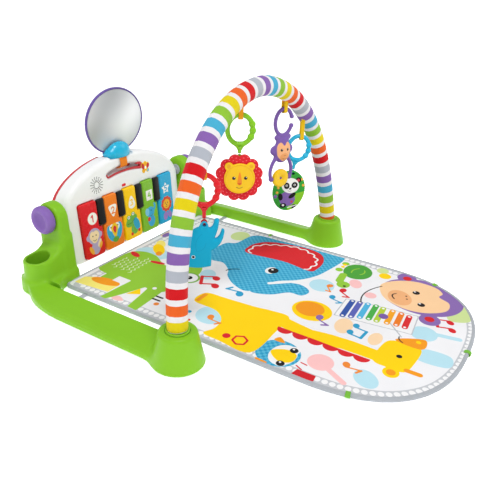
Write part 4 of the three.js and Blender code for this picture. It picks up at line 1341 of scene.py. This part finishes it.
def link_field(x, y, z, neck_length):
    toy_pivot = ring_bottom - neck_length
    ring = ring_field(x, y, z)
    ridge = np.sqrt((x**2 + (z - ring_bottom + 5) ** 2) * 0.6 + y**2 * 1.5) - 5.2
    neck = capsule(x, y, z, (0, 0, ring_bottom), (0, 0, toy_pivot), 3.4)
    collar = ellipsoid(x, y, z, (0, 0, ring_bottom - 1), (7.5, 3.8, 4.2))
    tab = slab(np.hypot(x, z - toy_pivot) - 6, y, -1.5, 1.5, 0.6)
    neck = smooth_union(smooth_union(neck, collar, 3), ridge, 2)
    flat = smooth_union(tab, np.maximum(neck, toy_pivot + 8 - z), 3)
    body = smooth_union(ring, flat, 4)
    cut = ellipsoid(x, y, z, (0, -4.2, ring_bottom - 2), (4.2, 1.6, 1.6))
    return smooth_cut(body, cut, 0.8)


def make_link(toy, name, material):
    half = ring_half_width + link_wire + 5
    end = ring_bottom - necks[toy] - 7

    def field(x, y, z):
        return link_field(x, y, z, necks[toy])

    piece = surface(name + "_ring", field, (-half, -8, end), (half, 8, 7), 0.9, leaning_frame(toy))
    dress(piece, material, name, [name])


mane_radius, mane_depth, scallop = 41.5, 5.5, 12
lion_middle, panda_middle = -39, -43


def make_lion():
    def mane_field(x, y, z):
        angle = np.arctan2(x, z - lion_middle)
        edge = mane_radius + mane_depth * np.abs(np.sin(scallop / 2 * angle)) ** 0.7
        reach = np.hypot(x, z - lion_middle)
        lattice = np.cos(18 * angle) * np.cos(2 * math.pi * (reach - 30) / 7)
        return slab(reach - edge, y - 0.35 * lattice * (reach > 30), -9.8, -1.8, 2.2)

    def face_field(x, y, z):
        u, v = np.abs(x), z - lion_middle
        head = np.hypot(x, v) - 30
        ears = np.hypot(u - 21, v - 24) - 8.2
        flat = smooth_union(head, ears, 3)
        body = slab(flat, y, -14.1, -9.9, 1.6)
        dish = slab(np.hypot(x, v) - 26.5, y, -30, -13.3, 0.8)
        body = smooth_cut(body, dish, 0.8)
        nose = ellipsoid(x, y, z, (0, -13.2, lion_middle - 3), (3.6, 2.2, 11))
        return smooth_union(body, nose, 2)

    place = toy_frame("lion")
    reach = mane_radius + mane_depth
    box_low, box_high = (-reach, -11, lion_middle - reach), (reach, -1, lion_middle + reach)
    mane = surface("lion_mane_ring", mane_field, box_low, box_high, 1.0, place)

    def spots(u, v):
        angle = np.arctan2(u, v - lion_middle)
        radius = np.hypot(u, v - lion_middle)
        lattice = np.cos(18 * angle) * np.cos(2 * math.pi * (radius - 30) / 7)
        return (0.72 - lattice) * 3 + 20 * (radius < 30)

    layers = [("F0707A", [spots])]
    front_ink(mane, layers, place)
    nodes = Nodes("mane_plastic", 0.42)
    dress(mane, moulded(nodes, inked(nodes, "D8202C", layers)), "lion", ["lion_mane"])

    m = lion_middle
    box_low, box_high = (-30.5, -16, m - 31), (30.5, -9, m + 33)
    face = surface("lion_face_plate", face_field, box_low, box_high, 0.8, place)
    layers = [
        ("EF8A1E", [blob([(-1.4, m + 11), (1.4, m + 11), (4.6, m - 9), (0, m - 12.5), (-4.6, m - 9)])]),
        ("D8601C", [blob([(-3.6, m - 8.5), (3.6, m - 8.5), (0, m - 12.5)])]),
        ("1B1718", [disc(-11.2, m + 1.2, 3.4), disc(11.8, m + 1.2, 3.4),
            curve_line((-6, m - 17), (0, m - 21), (6, m - 17), 1.1)]),
        # Painted highlights: a small white dot on each black eye.
        ("FFFFFF", [disc(-10, m + 2.6, 0.9), disc(13, m + 2.6, 0.9)]),
        ("E9A915", [lambda u, v: np.abs(np.hypot(u, v - m) - 27) - 0.5, disc(-21.5, m + 25, 3.8),
            disc(21.5, m + 25, 3.8)]),
    ]
    front_ink(face, layers, place)
    nodes = Nodes("lion_face_plastic", 0.34, Specular_IOR_Level=0.25)
    dress(face, moulded(nodes, inked(nodes, "F3C40F", layers)), "lion", ["lion_face"])


def elephant_outline():
    points = bend((-33, -84), (-10, -90), (13, -84)) + bend((13, -84), (15, -66),
        (13, -52)) + bend((13, -52), (34, -44), (37, -14))
    points += bend((37, -14), (37, -8), (31, -9)) + bend((31, -9), (26, -28), (19, -27))
    points += bend((19, -27), (27, -8), (27, 10)) + bend((27, 10), (22, 14), (17, 9))
    points += bend((17, 9), (16, -6), (8, -6)) + bend((8, -6), (7, 5), (0, 6))
    points += bend((0, 6), (-7, 5), (-9, -6)) + bend((-9, -6), (-31, -14), (-33, -50))
    return np.array(points + [(-33, -50)])


def make_elephant():
    outline = elephant_outline()

    def field(x, y, z):
        flat = outline_distance(outline, x, z)
        body = slab(flat + 0.4, y, -14.6, -3.0, 5)
        body = smooth_union(body, ellipsoid(x, y, z, (-10, -8.8, -38), (21, 8.6, 28)), 6)
        seam = np.abs(y + 8.8) - 0.45
        groove = np.maximum(seam, -body - 0.8)
        stud_room = np.hypot(x, z) - 3.4
        return smooth_cut(np.maximum(body, -groove), stud_room, 1)

    place = toy_frame("elephant")
    toy = surface("elephant_body", field, (-34, -18, -87), (38, -1, 15), 1.0, place)
    layers = [
        ("0894BD", [curve_line((-4, -16), (-20, -26), (-14, -50), 1),
            curve_line((-14, -50), (0, -50), (3, -34), 1)]),
        ("FFFFFF", [disc(-20, -62, 3.4)]),
        ("15181C", [disc(-20, -62, 2.6)]),
    ]
    front_ink(toy, layers, place)
    nodes = Nodes("blue_plush", 0.8, Sheen_Weight=0.12, Sheen_Roughness=0.5)
    material = woven(nodes, inked(nodes, "06A6CE", layers), threads=1000, depth=0.00012, tone=0.05)
    dress(toy, material, "elephant", ["elephant_toy"])


def make_monkey():
    head = ring_bottom - 34
    axle = head - 62
    hand = 25
    place = hanger_frame("monkey_swing")

    def field(x, y, z):
        u = np.abs(x)
        flat = oval(0, -ring_half_height, 22, ring_half_height)(x, z)
        ring = np.hypot(flat, y) - link_wire
        gap = np.maximum(np.abs(z + ring_half_height - 1) - 7, 10 - x)
        ring = smooth_cut(ring, gap, 1)
        for height in (8.5, -7.5):
            reach = 22 * math.sqrt(1 - (height / ring_half_height) ** 2)
            ball_z = height + 1.5 * np.sign(height) - ring_half_height
            ball = np.sqrt((x - reach) ** 2 + y**2 + (z - ball_z) ** 2) - 4.6
            ring = smooth_union(ring, ball, 2)
        tuft = ellipsoid(u, y, z, (14, 0, head + 30), (8, 4, 6))
        crown = ellipsoid(x, y, z, (0, 0, head + 24), (13, 6, 8))
        face = ellipsoid(x, y, z, (0, 0, head), (22.5, 10.5, 26.5))
        ears = ellipsoid(u, y, z, (22, 1.5, head + 2), (8, 4, 9.5))
        body = smooth_union(smooth_union(face, ears, 2), smooth_union(crown, tuft, 4), 4)
        body = smooth_union(body, ring, 3)
        path = bend((15, head - 14), (36, head - 40), (hand, axle), 8) + [(hand, axle)]
        arms = np.full(np.broadcast(x, y, z).shape, np.inf)
        for a, b in zip(path[:-1], path[1:]):
            arms = np.minimum(arms, capsule(u, y, z, (a[0], 0, a[1]), (b[0], 0, b[1]), 3.9))
        hands = np.sqrt((u - hand) ** 2 + y**2 + (z - axle) ** 2) - 5.4
        body = smooth_union(body, smooth_union(arms, hands, 2.5), 3)
        muzzle = ellipsoid(x, y, z, (0, -6.5, head - 11), (11, 6, 8.5))
        body = smooth_union(body, muzzle, 4)
        rod = capsule(x, y, z, (-hand, 0, axle), (hand, 0, axle), 2.5)
        return np.minimum(body, rod)

    monkey = surface("monkey_body", field, (-36, -15, axle - 7), (36, 12, 5), 1.0, place)
    m = head
    heart = [(0, m + 13), (8, m + 20), (16, m + 14), (18, m + 2), (14, m - 12), (0, m - 21),
        (-14, m - 12), (-18, m + 2), (-16, m + 14), (-8, m + 20)]
    layers = [
        ("F0B380", [blob(heart)]),
        ("E59F66", [oval(0, m - 11, 11, 8)]),
        ("1B1718", [disc(-7.4, m + 4, 3), disc(8.6, m + 4, 3), disc(-2, m - 8, 0.9),
            disc(2, m - 8, 0.9), curve_line((-5, m - 14), (0, m - 17.5), (5, m - 14), 0.9)]),
        # Painted highlights: a small white dot on each black eye.
        ("FFFFFF", [disc(-6.4, m + 5.2, 0.8), disc(9.6, m + 5.2, 0.8)]),
    ]
    front_ink(monkey, layers, place)
    nodes = Nodes("monkey_plastic", 0.4)
    dress(monkey, moulded(nodes, inked(nodes, "7A5CA8", layers)), "monkey",
        ["monkey_toy"])
    turn = place @ Matrix.Translation((0, 0, axle)) @ Matrix.Rotation(math.radians(90), 4, "X")
    ring = [(3.1, -3.2), (6, -3.5), (8, -4.5)] + arc(18.5, 0, 2, 4.5, -90, 90, 9) + [(8, 4.5), (6, 3.5),
        (3.1, 3.2)]
    wheel = lathe_ring("monkey_spinner", ring, turn)
    dress(wheel, yellow_plastic, "monkey_disc", ["monkey_disc"])


def panda_layers():
    m = panda_middle
    flowers = ((23, m + 33), (30, m + 20), (-27, m + 4), (-27, m - 8))
    face = oval(0, m + 14, 20.5, 18.5)
    return [
        ("8CCB2C", [area([(4, m - 52), (40, m - 52), (40, m + 8), (14, m - 4)])]),
        ("F2A93B", [disc(x, z, 3.2) for x, z in flowers]),
        ("F6D46A", [disc(x, z, 1.3) for x, z in flowers]),
        ("8766B0", [oval(0, m - 19, 19, 18), disc(-29, m - 18, 4.5)]),
        ("17181A", [disc(-15.5, m + 26, 7), disc(15.5, m + 30, 7), oval(-17, m - 17, 5.5, 9, 20),
            oval(-6, m - 37, 8, 6, 20), oval(20, m - 35, 5, 6, -20)]),
        ("D14B55", [disc(-15.5, m + 26, 3.4), disc(15.5, m + 30, 3.4), disc(12, m - 24, 3)]),
        ("F7F6F4", [face, oval(-6, m - 36, 3, 2.4), line([(6, m - 40), (26, m - 30)], 2.2)]),
        ("17181A", [oval(-8.5, m + 12, 6.6, 8, 20), oval(9.5, m + 17, 7, 7.6, -25),
            blob([(-1, m + 7), (4, m + 10), (3, m + 5), (0, m + 4)]), oval(10, m - 9, 5, 10, -40),
                curve_line((-3, m + 1.5), (1.5, m - 2), (5, m + 2.5), 0.9)]),
        ("F7F6F4", [disc(-8.5, m + 12.5, 2.6), disc(9.5, m + 17.5, 2.6)]),
        ("17181A", [disc(-8.3, m + 12.3, 1.5), disc(9.3, m + 17.3, 1.5)]),
    ]


def make_panda():
    middle = panda_middle

    def field(x, y, z):
        flat = oval(0, middle, 38, 49)(x, z)
        angle = np.arctan2(x / 38, (z - middle) / 49)
        stitch = 0.25 * np.cos(60 * angle)
        body = slab(flat + 0.3 + stitch, y, -11.8, -1.8, 2.6)
        groove = np.maximum(np.abs(flat + 4) - 0.5, y + 11.2)
        stud_room = np.hypot(x, z) - 3.4
        return smooth_cut(np.maximum(body, -groove), stud_room, 0.8)

    place = toy_frame("panda")
    toy = surface("panda_disc", field, (-38, -12, middle - 49), (38, -1, middle + 49), 0.95, place)
    layers = panda_layers()
    front_ink(toy, layers, place)
    nodes = Nodes("panda_print", 0.45)
    dress(toy, moulded(nodes, inked(nodes, "36A339", layers)), "panda", ["panda_toy"])


def make_loops():
    """The webbing loops that the rings hang in."""
    for toy, joint, code in (
        ("lion", "green_link_swing", "F0A81C"),
        ("elephant", "red_link_swing", "F0A81C"),
        ("monkey", "monkey_swing", "F0C414"),
        ("panda", "blue_link_swing", "F0C414"),
    ):
        node = toy + "_loop"
        _, high = box_mm(node)
        place = hanger_frame(joint)
        top = high[2] - joint_at[joint].z

        def field(x, y, z, top=top):
            flat = slab(np.abs(x) - 4.4, z, -60, 90, 0.6)
            bottom = -link_wire - 2.2
            cup = np.hypot(y, np.minimum(z - bottom - 3, 0))
            ribbon = np.abs(cup - 5.2) - 0.8
            return np.maximum(np.maximum(ribbon, flat), z - top)

        loop = surface(node + "_band", field, (-5.2, -7, -link_wire - 7), (5.2, 7, top), 0.7, place)
        dress(loop, fabric(node + "_webbing", code, 0.8, 900, 0.0002), "arch", [node])


make_link("lion", "green_link", green_plastic)
make_link("elephant", "red_link", red_plastic)
make_link("panda", "blue_link", cyan_plastic)
make_lion()
make_elephant()
make_monkey()
make_panda()
make_loops()

# ---------------------------------------------------------------- mat

mat_low, mat_high = box_mm("play_mat")
mat_half = mat_high[0]
mat_thick = mat_high[2] - mat_low[2]
mat_back = mat_high[1]
mat_front = mat_low[1]
mat_round_start = arch_y - 190  # where the sides start to curve in to the rounded end
mat_power = 2.6
binding_width = 9
border_width = 17


def mat_outline(inset=0.0):
    half = mat_half - inset
    depth = mat_round_start - mat_front - inset
    corner = 14
    points = arc(half - corner, mat_back - inset - corner, corner, corner, 0, 90, 5)
    points += arc(-half + corner, mat_back - inset - corner, corner, corner, 90, 180, 5)
    for turn in np.radians(np.linspace(180, 360, 61)):
        c, s = math.cos(turn), math.sin(turn)
        reach = (abs(c) ** mat_power + abs(s) ** mat_power) ** (-1 / mat_power)
        points.append([half * reach * c, mat_round_start + depth * reach * s])
    return np.array(points)


def mat_rise(x, y):
    """How much the stuffed mat's top rises and falls."""
    wave = 0.9 * np.sin(x / 41 + 0.6 * np.sin(y / 57)) * np.sin(y / 47 + 0.8)
    wave = wave + 0.5 * np.sin(x / 19 + y / 26 + 1.3) + 0.35 * np.sin(y / 13 - x / 31)
    return wave


def outline_walk(points, spacing):
    """Evenly spaced places along a closed outline, with the outline's direction at each."""
    closed = np.concatenate([points, points[:1]])
    reach = np.concatenate([[0], np.cumsum(np.linalg.norm(np.diff(closed, axis=0), axis=1))])
    count = round(reach[-1] / spacing)
    wanted = np.arange(count) * reach[-1] / count
    places = np.column_stack([np.interp(wanted, reach, closed[:, a]) for a in range(2)])
    step = np.roll(places, -1, 0) - np.roll(places, 1, 0)
    return places, np.degrees(np.arctan2(step[:, 1], step[:, 0]))


def border_shapes():
    """The lace-like ovals in the grey border band."""
    middle = mat_outline(binding_width + border_width / 2)
    places, turns = outline_walk(middle, 13.5)
    cells = np.column_stack([places, turns])

    def ovals(u, v):
        found = np.full(u.shape, 20.0)
        for x, y, turn in cells:
            near = (np.abs(u - x) < 14) & (np.abs(v - y) < 14)
            found[near] = np.minimum(found[near], oval(x, y, 5.6, 6.2, turn)(u[near], v[near]))
        return found

    return ovals


def frame_band(outer, inner):
    """The band between two insets of the mat's outline."""
    far, near = mat_outline(outer), mat_outline(inner)
    return lambda u, v: np.maximum(outline_distance(far, u, v), -outline_distance(near, u, v))


def crocodile():
    prong = [(-150, 255), (-240, 262), (-242, 248), (-148, 208)]
    lower = [(-146, 206), (-236, 190), (-238, 165), (-148, 170)]
    body = [(-150, 355), (-55, 355), (-25, 330), (-25, 290), (-52, 240), (-20, 215), (-5, 190),
        (-10, 165), (-60, 150), (-150, 168), (-152, 257)]
    return [blob(body), area(prong), area(lower),
        area([(-178, 322), (-150, 322), (-150, 290), (-178, 290)])]


def hatching():
    """Small pale scale marks on the crocodile's back."""
    marks = []
    for row in range(6):
        for k in range(6 - row // 2):
            x, y = -122 + 13 * k + 6.5 * (row % 2), 282 + 11 * row
            marks.append(line([(x - 5, y + 5), (x, y), (x + 5, y + 5)], 2.2))
    return marks


def elephant_print():
    body = [(-40, 20), (-36, 60), (-10, 95), (15, 110), (38, 140), (36, 172), (60, 197), (130, 196),
        (150, 172)]
    body += [(215, 160), (227, 100), (231, -60), (222, -92), (140, -80), (100, -67), (62, -42), (24, -2)]
    trunk = [(-40, 16), (-26, -25), (4, -55), (8, -82), (30, -90), (45, -76), (48, -50), (24, -2), (-4, 30)]
    return [blob(body), blob(trunk)]


def elephant_ear(grow=0.0):
    points = [(118, 122), (150, 136), (186, 125), (210, 96), (222, 50), (227, 0), (214, -36),
        (180, -56), (140, -58), (120, -45), (128, 30)]
    return [blob(points)]


def giraffe():
    head = [(-60, -290), (-40, -305), (-37, -340), (-45, -358), (-90, -358), (-125, -350), (-128, -320),
        (-120, -290)]
    neck = [(-122, -295), (-122, -230), (-134, -180), (-122, -100), (-88, -100), (-98, -160),
        (-90, -200), (-87, -240), (-88, -295)]
    body = [(-140, 92), (-100, 92), (-93, 50), (-89, -20), (-82, -60), (-84, -102), (-140, -104),
        (-228, -97), (-229, -30), (-226, 8), (-200, 0), (-168, 6), (-146, 35)]
    return [blob(head), area(neck), blob(body)]


def hexagon(x, y, reach):
    turns = [math.pi * i / 3 for i in range(6)]
    return [(x + reach * math.cos(t), y + reach * math.sin(t)) for t in turns]


def mat_layers():
    """The mat's print, from the lowest colour to the highest, in the mat's plane."""
    band = frame_band(binding_width * 0.6, binding_width + border_width)
    xylophone, rivets = [], []
    bars = (("3455A4", 18, -185), ("5B63B5", 22, -201), ("4FB3DD", 28, -217), ("4BAE4A", 32, -234))
    bars += (("B5CE3B", 32, -250), ("F5A623", 35, -270), ("EF7D22", 37, -288), ("DB2B30", 37, -305))
    for number, (code, x, y) in enumerate(bars):
        half = 32 - 1.4 * number
        xylophone.append((code, [line([(x - half, y - 2), (x + half, y + 2)], 12.5)]))
        rivets += [disc(x - half, y - 2, 3), disc(x + half, y + 2, 3)]
    plate = [(-22, -172), (52, -168), (72, -318), (-2, -326)]
    red_notes = note_pair(-50, 100, 19, 30) + note_pair(72, -384, 16, 20) + note(82, -148, 15, 150)
    scallops = [disc(-125, y, 16) for y in (-115, -148, -180, -211, -242, -272)]
    mane = both(area([(-146, -95), (-124, -95), (-124, -292), (-146, -292)]), lambda u,
        v: np.minimum.reduce([s(u, v) for s in scallops]))
    hem = bend((122, 112), (150, 135), (180, 105)) + bend((180, 105), (215, 60), (212, 15))
    hem += bend((212, 15), (200, -38), (150, -42)) + [(150, -42), (122, -32)]
    lace = line(scalloped(hem, 7, 26), 4)
    return [
        ("C6C9CE", [band]),
        ("F4F4F5", [border_shapes()]),
        ("B9E2EF", [disc(-165, 30, 33), oval(-30, 135, 24, 18, 30), disc(75, -100, 28),
            oval(-180, -300, 26, 20, 50), disc(15, -345, 26), line([(22, -350), (34, -408)], 12),
                blob([(-75, -356), (-38, -352), (-34, -408), (-70, -412)]), oval(-20, 305, 30, 46, 10)]),
        ("FBC4C4", [blob([(-232, 232), (-222, 244), (-214, 230), (-224, 212)]), disc(-182, -216, 24),
            line([(-186, -222), (-212, -272)], 11), oval(125, -160, 20, 14, 30), disc(96, -206, 13)]),
        ("CFE29A", [oval(190, 187, 28, 24), disc(222, -190, 14),
            blob([(95, -372), (160, -362), (158, -396), (112, -412)]), oval(-200, -60, 30, 22)]),
        ("FBD9B0", [oval(-48, -204, 28, 18, 10), oval(-56, -272, 22, 13), oval(92, 350, 24, 14)]),
        ("FCEB7B", [area([(-226, 350), (-196, 350), (-180, 325), (-182, 262), (-216, 262)]),
            oval(30, 322, 24, 12, 40)]),
        ("93CA38", crocodile()),
        ("37B3D8", elephant_print() + [oval(-200, -140, 40, 42)]),
        ("FFD400", giraffe() + [oval(-34, -128, 38, 42), disc(-138, -330, 15),
            area([(-200, 228), (-166, 216), (-184, 200)]), oval(6, 308, 30, 14, 48), disc(200, -203, 14)]),
        ("F59B1C", [oval(-30, -122, 28, 30), area([(-138, 93), (-102, 93), (-101, 83), (-137, 83)]),
            blob([(-38, -305), (-16, -328), (-6, -356), (-40, -357)]), disc(-138, -330, 8.5),
                line([(-118, -352), (-117, -375)], 11), oval(-186, 298, 14, 36, 8),
                    blob([(-236, -138), (-246, -124), (-234, -112)]),
                        blob([(-166, -136), (-154, -120), (-168, -114)]), oval(-12, 293, 12, 8, 40)]),
        ("D9232B", elephant_ear() + [mane, oval(-48, 336, 8, 17, -20), oval(-52, 264, 6, 20, 10),
            disc(-208, -33, 8), disc(-205, 58, 4)] + red_notes + [without(area(hexagon(-206, -62, 17)),
                area(hexagon(-206, -62, 12))), line([(-214, -184), (-220, -197)], 3),
                    line([(-202, -187), (-204, -200)], 3)]),
        ("8B6BB0", enlarged([oval(155, -300, 70, 82), disc(78, -338, 20), disc(216, -252, 20)],
            (158, -300), 1.08) + [ oval(84, 346, 16, 9), *note(-48, -152, 15, 160)]),
        ("D9232B", [disc(74, -340, 10), disc(219, -250, 10)]),
        ("FBD0A0", enlarged([blob([(152, -218), (186, -236), (206, -270), (206, -310), (190, -330),
            (172, -328), (158, -350), (128, -352), (100, -322), (92, -280), (110, -240)])], (150, -286),
                1.14)),
        ("F1B27C", [oval(124, -262, 33, 25, 30)]),
        ("4DA33B", [oval(182, -143, 38, 33)]),
        ("93C93C", [line([(150, -120), (118, -124)], 18), disc(106, -138, 15), disc(168, -102, 9),
            disc(204, -104, 9), curve_line((170, -132), (186, -126), (200, -140), 3),
                curve_line((172, -152), (184, -162), (198, -154), 3)]),
        ("F2F2F3", [disc(-222, -156, 12), disc(-177, -160, 12), oval(-200, -150, 33, 25), lace,
            line([(15, 0), (44, -32), (74, -62)], 10), oval(70, 27, 17, 13),
                area([(-174, 257), (-151, 257), (-151, 290), (-174, 290)]), area(plate),
                    disc(-68, 160, 21), disc(-148, 192, 5)]),
        ("BFC3C9", [line(plate + plate[:1], 2.5), curve_line((-22, -312), (0, -290), (30, -262), 3)]),
        ("FFD400", [blob([(-200, -125), (-181, -150), (-188, -172), (-212, -172), (-221, -150)]),
            disc(-20, -345, 5), *[disc(x, -104, 5) for x in (186, 198)]]),
        ("CF1F28", [area([(-243, -186), (-222, -190), (-222, -226), (-238, -228)])]),
        *xylophone,
        ("F7F7F8", rivets),
        ("7A5CA8", [disc(30, -258, 10)]),
        ("2E9FCB", note_pair(-48, -224, 15, 175) + note(-62, 30, 17, 10) + note(42, -140, 14,
            170) + [disc(-180, 75, 5)]),
        ("F08A35", note(-172, 28, 14, 180) + note(-162, -257, 14, 190) + note(84, -116, 13,
            130) + [disc(-195, 148, 6)]),
        ("7CB342", [without(disc(-68, 160, 25), disc(-68, 160, 20))]),
        ("1D1A1C", [disc(-68, 160, 8), oval(72, 22, 13.5, 12),
            curve_line((10, 112), (24, 108), (33, 90), 3.5), disc(-225, -158, 8), disc(-177, -161, 8),
                disc(-85, -328, 5.5), curve_line((-38, -320), (-34, -308), (-22, -308), 2.5),
                    disc(127, -277, 2.4), disc(139, -272, 2.4),
                        curve_line((112, -254), (126, -238), (137, -250), 3), disc(120, -310, 8),
                            disc(166, -286, 8), disc(101, -143, 3.5),
                                line([(-182, 150), (-182, 168)], 5),
                                    line([(-170, 152), (-170, 168)], 5),
                                        curve_line((55, -200), (100, -178), (150, -213), 3)]),
        ("F7F7F8", [disc(-222, -156, 2.4), disc(-174, -159, 2.4), disc(75, 26, 3), disc(123, -306, 2.5),
            disc(169, -282, 2.5), disc(-66, 163, 2.4)]),
        ("E3F1C8", hatching()),
    ]


def mat_material(layers):
    """The mat's print, with a coarse two-tone weave in the blue areas."""
    nodes = Nodes("mat_fabric", 0.88, Sheen_Weight=0.05, Sheen_Roughness=0.5)
    colour = inked(nodes, "F1F1F4", layers)
    blue = [code for code, _ in layers].index("37B3D8")
    share = nodes.scaled(nodes.attribute(f"ink_{blue}"), INK_EDGE, -INK_EDGE, 0, 1)
    later = [n for n, (code, _) in enumerate(layers) if n > blue]
    for number in later:
        clear = nodes.scaled(nodes.attribute(f"ink_{number}"), -INK_EDGE, INK_EDGE, 0, 1)
        share = nodes.math("MULTIPLY", share, clear)
    separate = nodes.add("ShaderNodeSeparateXYZ", {"Vector": nodes.coordinates})
    turns = 2 * math.pi / 0.013
    along = nodes.math("SINE", nodes.math("MULTIPLY", separate.outputs["X"], turns))
    across = nodes.math("SINE", nodes.math("MULTIPLY", separate.outputs["Y"], turns))
    check = nodes.scaled(nodes.math("MULTIPLY", along, across), -0.3, 0.3, 0, 1)
    weave = nodes.mix(check, linear("58BBDB"), linear("2D9BC8"))
    colour = nodes.mix(share, colour, weave)
    return woven(nodes, colour, threads=1400, depth=0.00012, tone=0.05)


def make_mat():
    outline = mat_outline(binding_width * 0.35)

    def field(x, y, z):
        edge = outline_distance(outline, x, y)
        fade = np.clip(-edge / 14, 0, 1)
        body = slab(edge, z - fade * 0.5 * (mat_rise(x, y) - 1.1), mat_low[2] + 0.4, mat_high[2] - 0.9, 3.0)
        return np.maximum(body, mat_low[2] + 0.3 - z)

    box_low, box_high = (-mat_half, mat_front, mat_low[2]), (mat_half, mat_back, mat_high[2])
    mat = surface("mat_top", field, box_low, box_high, 2.1)
    layers = mat_layers()
    lay_ink(mat, layers, lambda p: (p[:, 0], p[:, 1] - arch_y), (0, 0, 1))
    dress(mat, mat_material(layers), "base", ["play_mat"])


def make_binding():
    """The rolled binding sewn round the mat's edge."""
    path = mat_outline(binding_width * 0.42)
    places, _ = outline_walk(path, 3.2)
    count, sides = len(places), 14
    points = []
    middle = (mat_low[2] + mat_high[2]) / 2 + 0.3
    for i in range(count):
        step = places[(i + 1) % count] - places[i - 1]
        out = np.array([step[1], -step[0]]) / np.linalg.norm(step)
        pucker = 1 + 0.03 * math.sin(2.4 * i) + 0.02 * math.sin(0.7 * i)
        for k in range(sides):
            turn = 2 * math.pi * k / sides
            across = binding_width * 0.46 * pucker * math.cos(turn)
            height = middle + (mat_thick / 2 + 0.1) * pucker * math.sin(turn)
            points.append([*(places[i] + out * across), height])
    binding = new_mesh("mat_binding", points, tube_faces(count, sides, True))
    dress(binding, fabric("binding_fabric", "B3B8BE", 0.85, 900, 0.0002), "base")


def make_mat_straps():
    """The corner straps that tie the mat to the rails."""
    for side in ("left", "right"):
        low, high = box_mm(side + "_mat_strap")

        def field(x, y, z, low=low, high=high):
            middle, half = (low + high) / 2, (high - low) / 2
            flat = np.maximum(np.abs(x - middle[0]) - half[0], np.abs(y - middle[1]) - half[1])
            return slab(flat, z, low[2], high[2], 0.5)

        strap = surface(side + "_strap_band", field, low - 1, high + 1, 0.6)
        dress(strap, grey_webbing, "base", [side + "_mat_strap"])


def make_tabs():
    """The webbing tabs and toy loops sewn into the binding."""
    green = fabric("tab_webbing", "79BE3F", 0.8, 900, 0.0002)
    outline = mat_outline(binding_width * 0.4)
    for number, (x, y, width) in enumerate(((-215, -285, 9), (0, -425, 10), (243, -318, 10),
        (243, 125, 8))):
        places, turns = outline_walk(outline, 1.0)
        nearest = int(np.argmin(np.hypot(places[:, 0] - x, places[:, 1] - (y + arch_y))))
        place = Matrix.Translation((*places[nearest], mat_low[2] + 1))
        place @= Matrix.Rotation(math.radians(turns[nearest]), 4, "Z")

        def field(x, y, z, width=width):
            ring = np.abs(np.hypot(y / 1.35, (z - 4.6) / 0.85) - 4.6) - 0.8
            return np.maximum(ring, np.abs(x) - width / 2)

        tab = surface(f"mat_loop_{number + 1}", field, (-width / 2, -8, 0), (width / 2, 8, 11), 0.7, place)
        dress(tab, green, "base")


make_mat()
make_binding()
make_mat_straps()
make_tabs()

# ---------------------------------------------------------------- CAD pieces that stay


def dress_kept_parts():
    """Better materials for the CAD pieces whose shapes stay as they are."""
    steel = moulded(Nodes("brushed_steel", 0.36, Metallic=1.0), linear("B9BCC0"), 0.00001, 0.06)
    rubber = plastic("grey_rubber", "55585C", 0.75)
    board = plastic("green_board", "2F7A46", 0.5)
    sides = ("left_", "right_")
    kept = {
        lime_plastic: [side + "base_cover" for side in sides],
        rubber: [side + end for side in sides for end in ("front_foot", "rear_foot")] + ["speaker"],
        grey_plastic: [side + part for side in sides for part in ("pivot_shaft", "arch_tube")],
        steel: ["battery_1", "battery_2", "battery_3", "battery_door_screw"],
        rim_plastic: ["battery_door"],
        white_plastic: ["volume_slider", "arch_joiner"],
        board: ["circuit_board", "key_contact_strip"],
    }
    for material, nodes in kept.items():
        for node in nodes:
            for place in frame["nodes"][node].material_slots:
                place.material = material


dress_kept_parts()
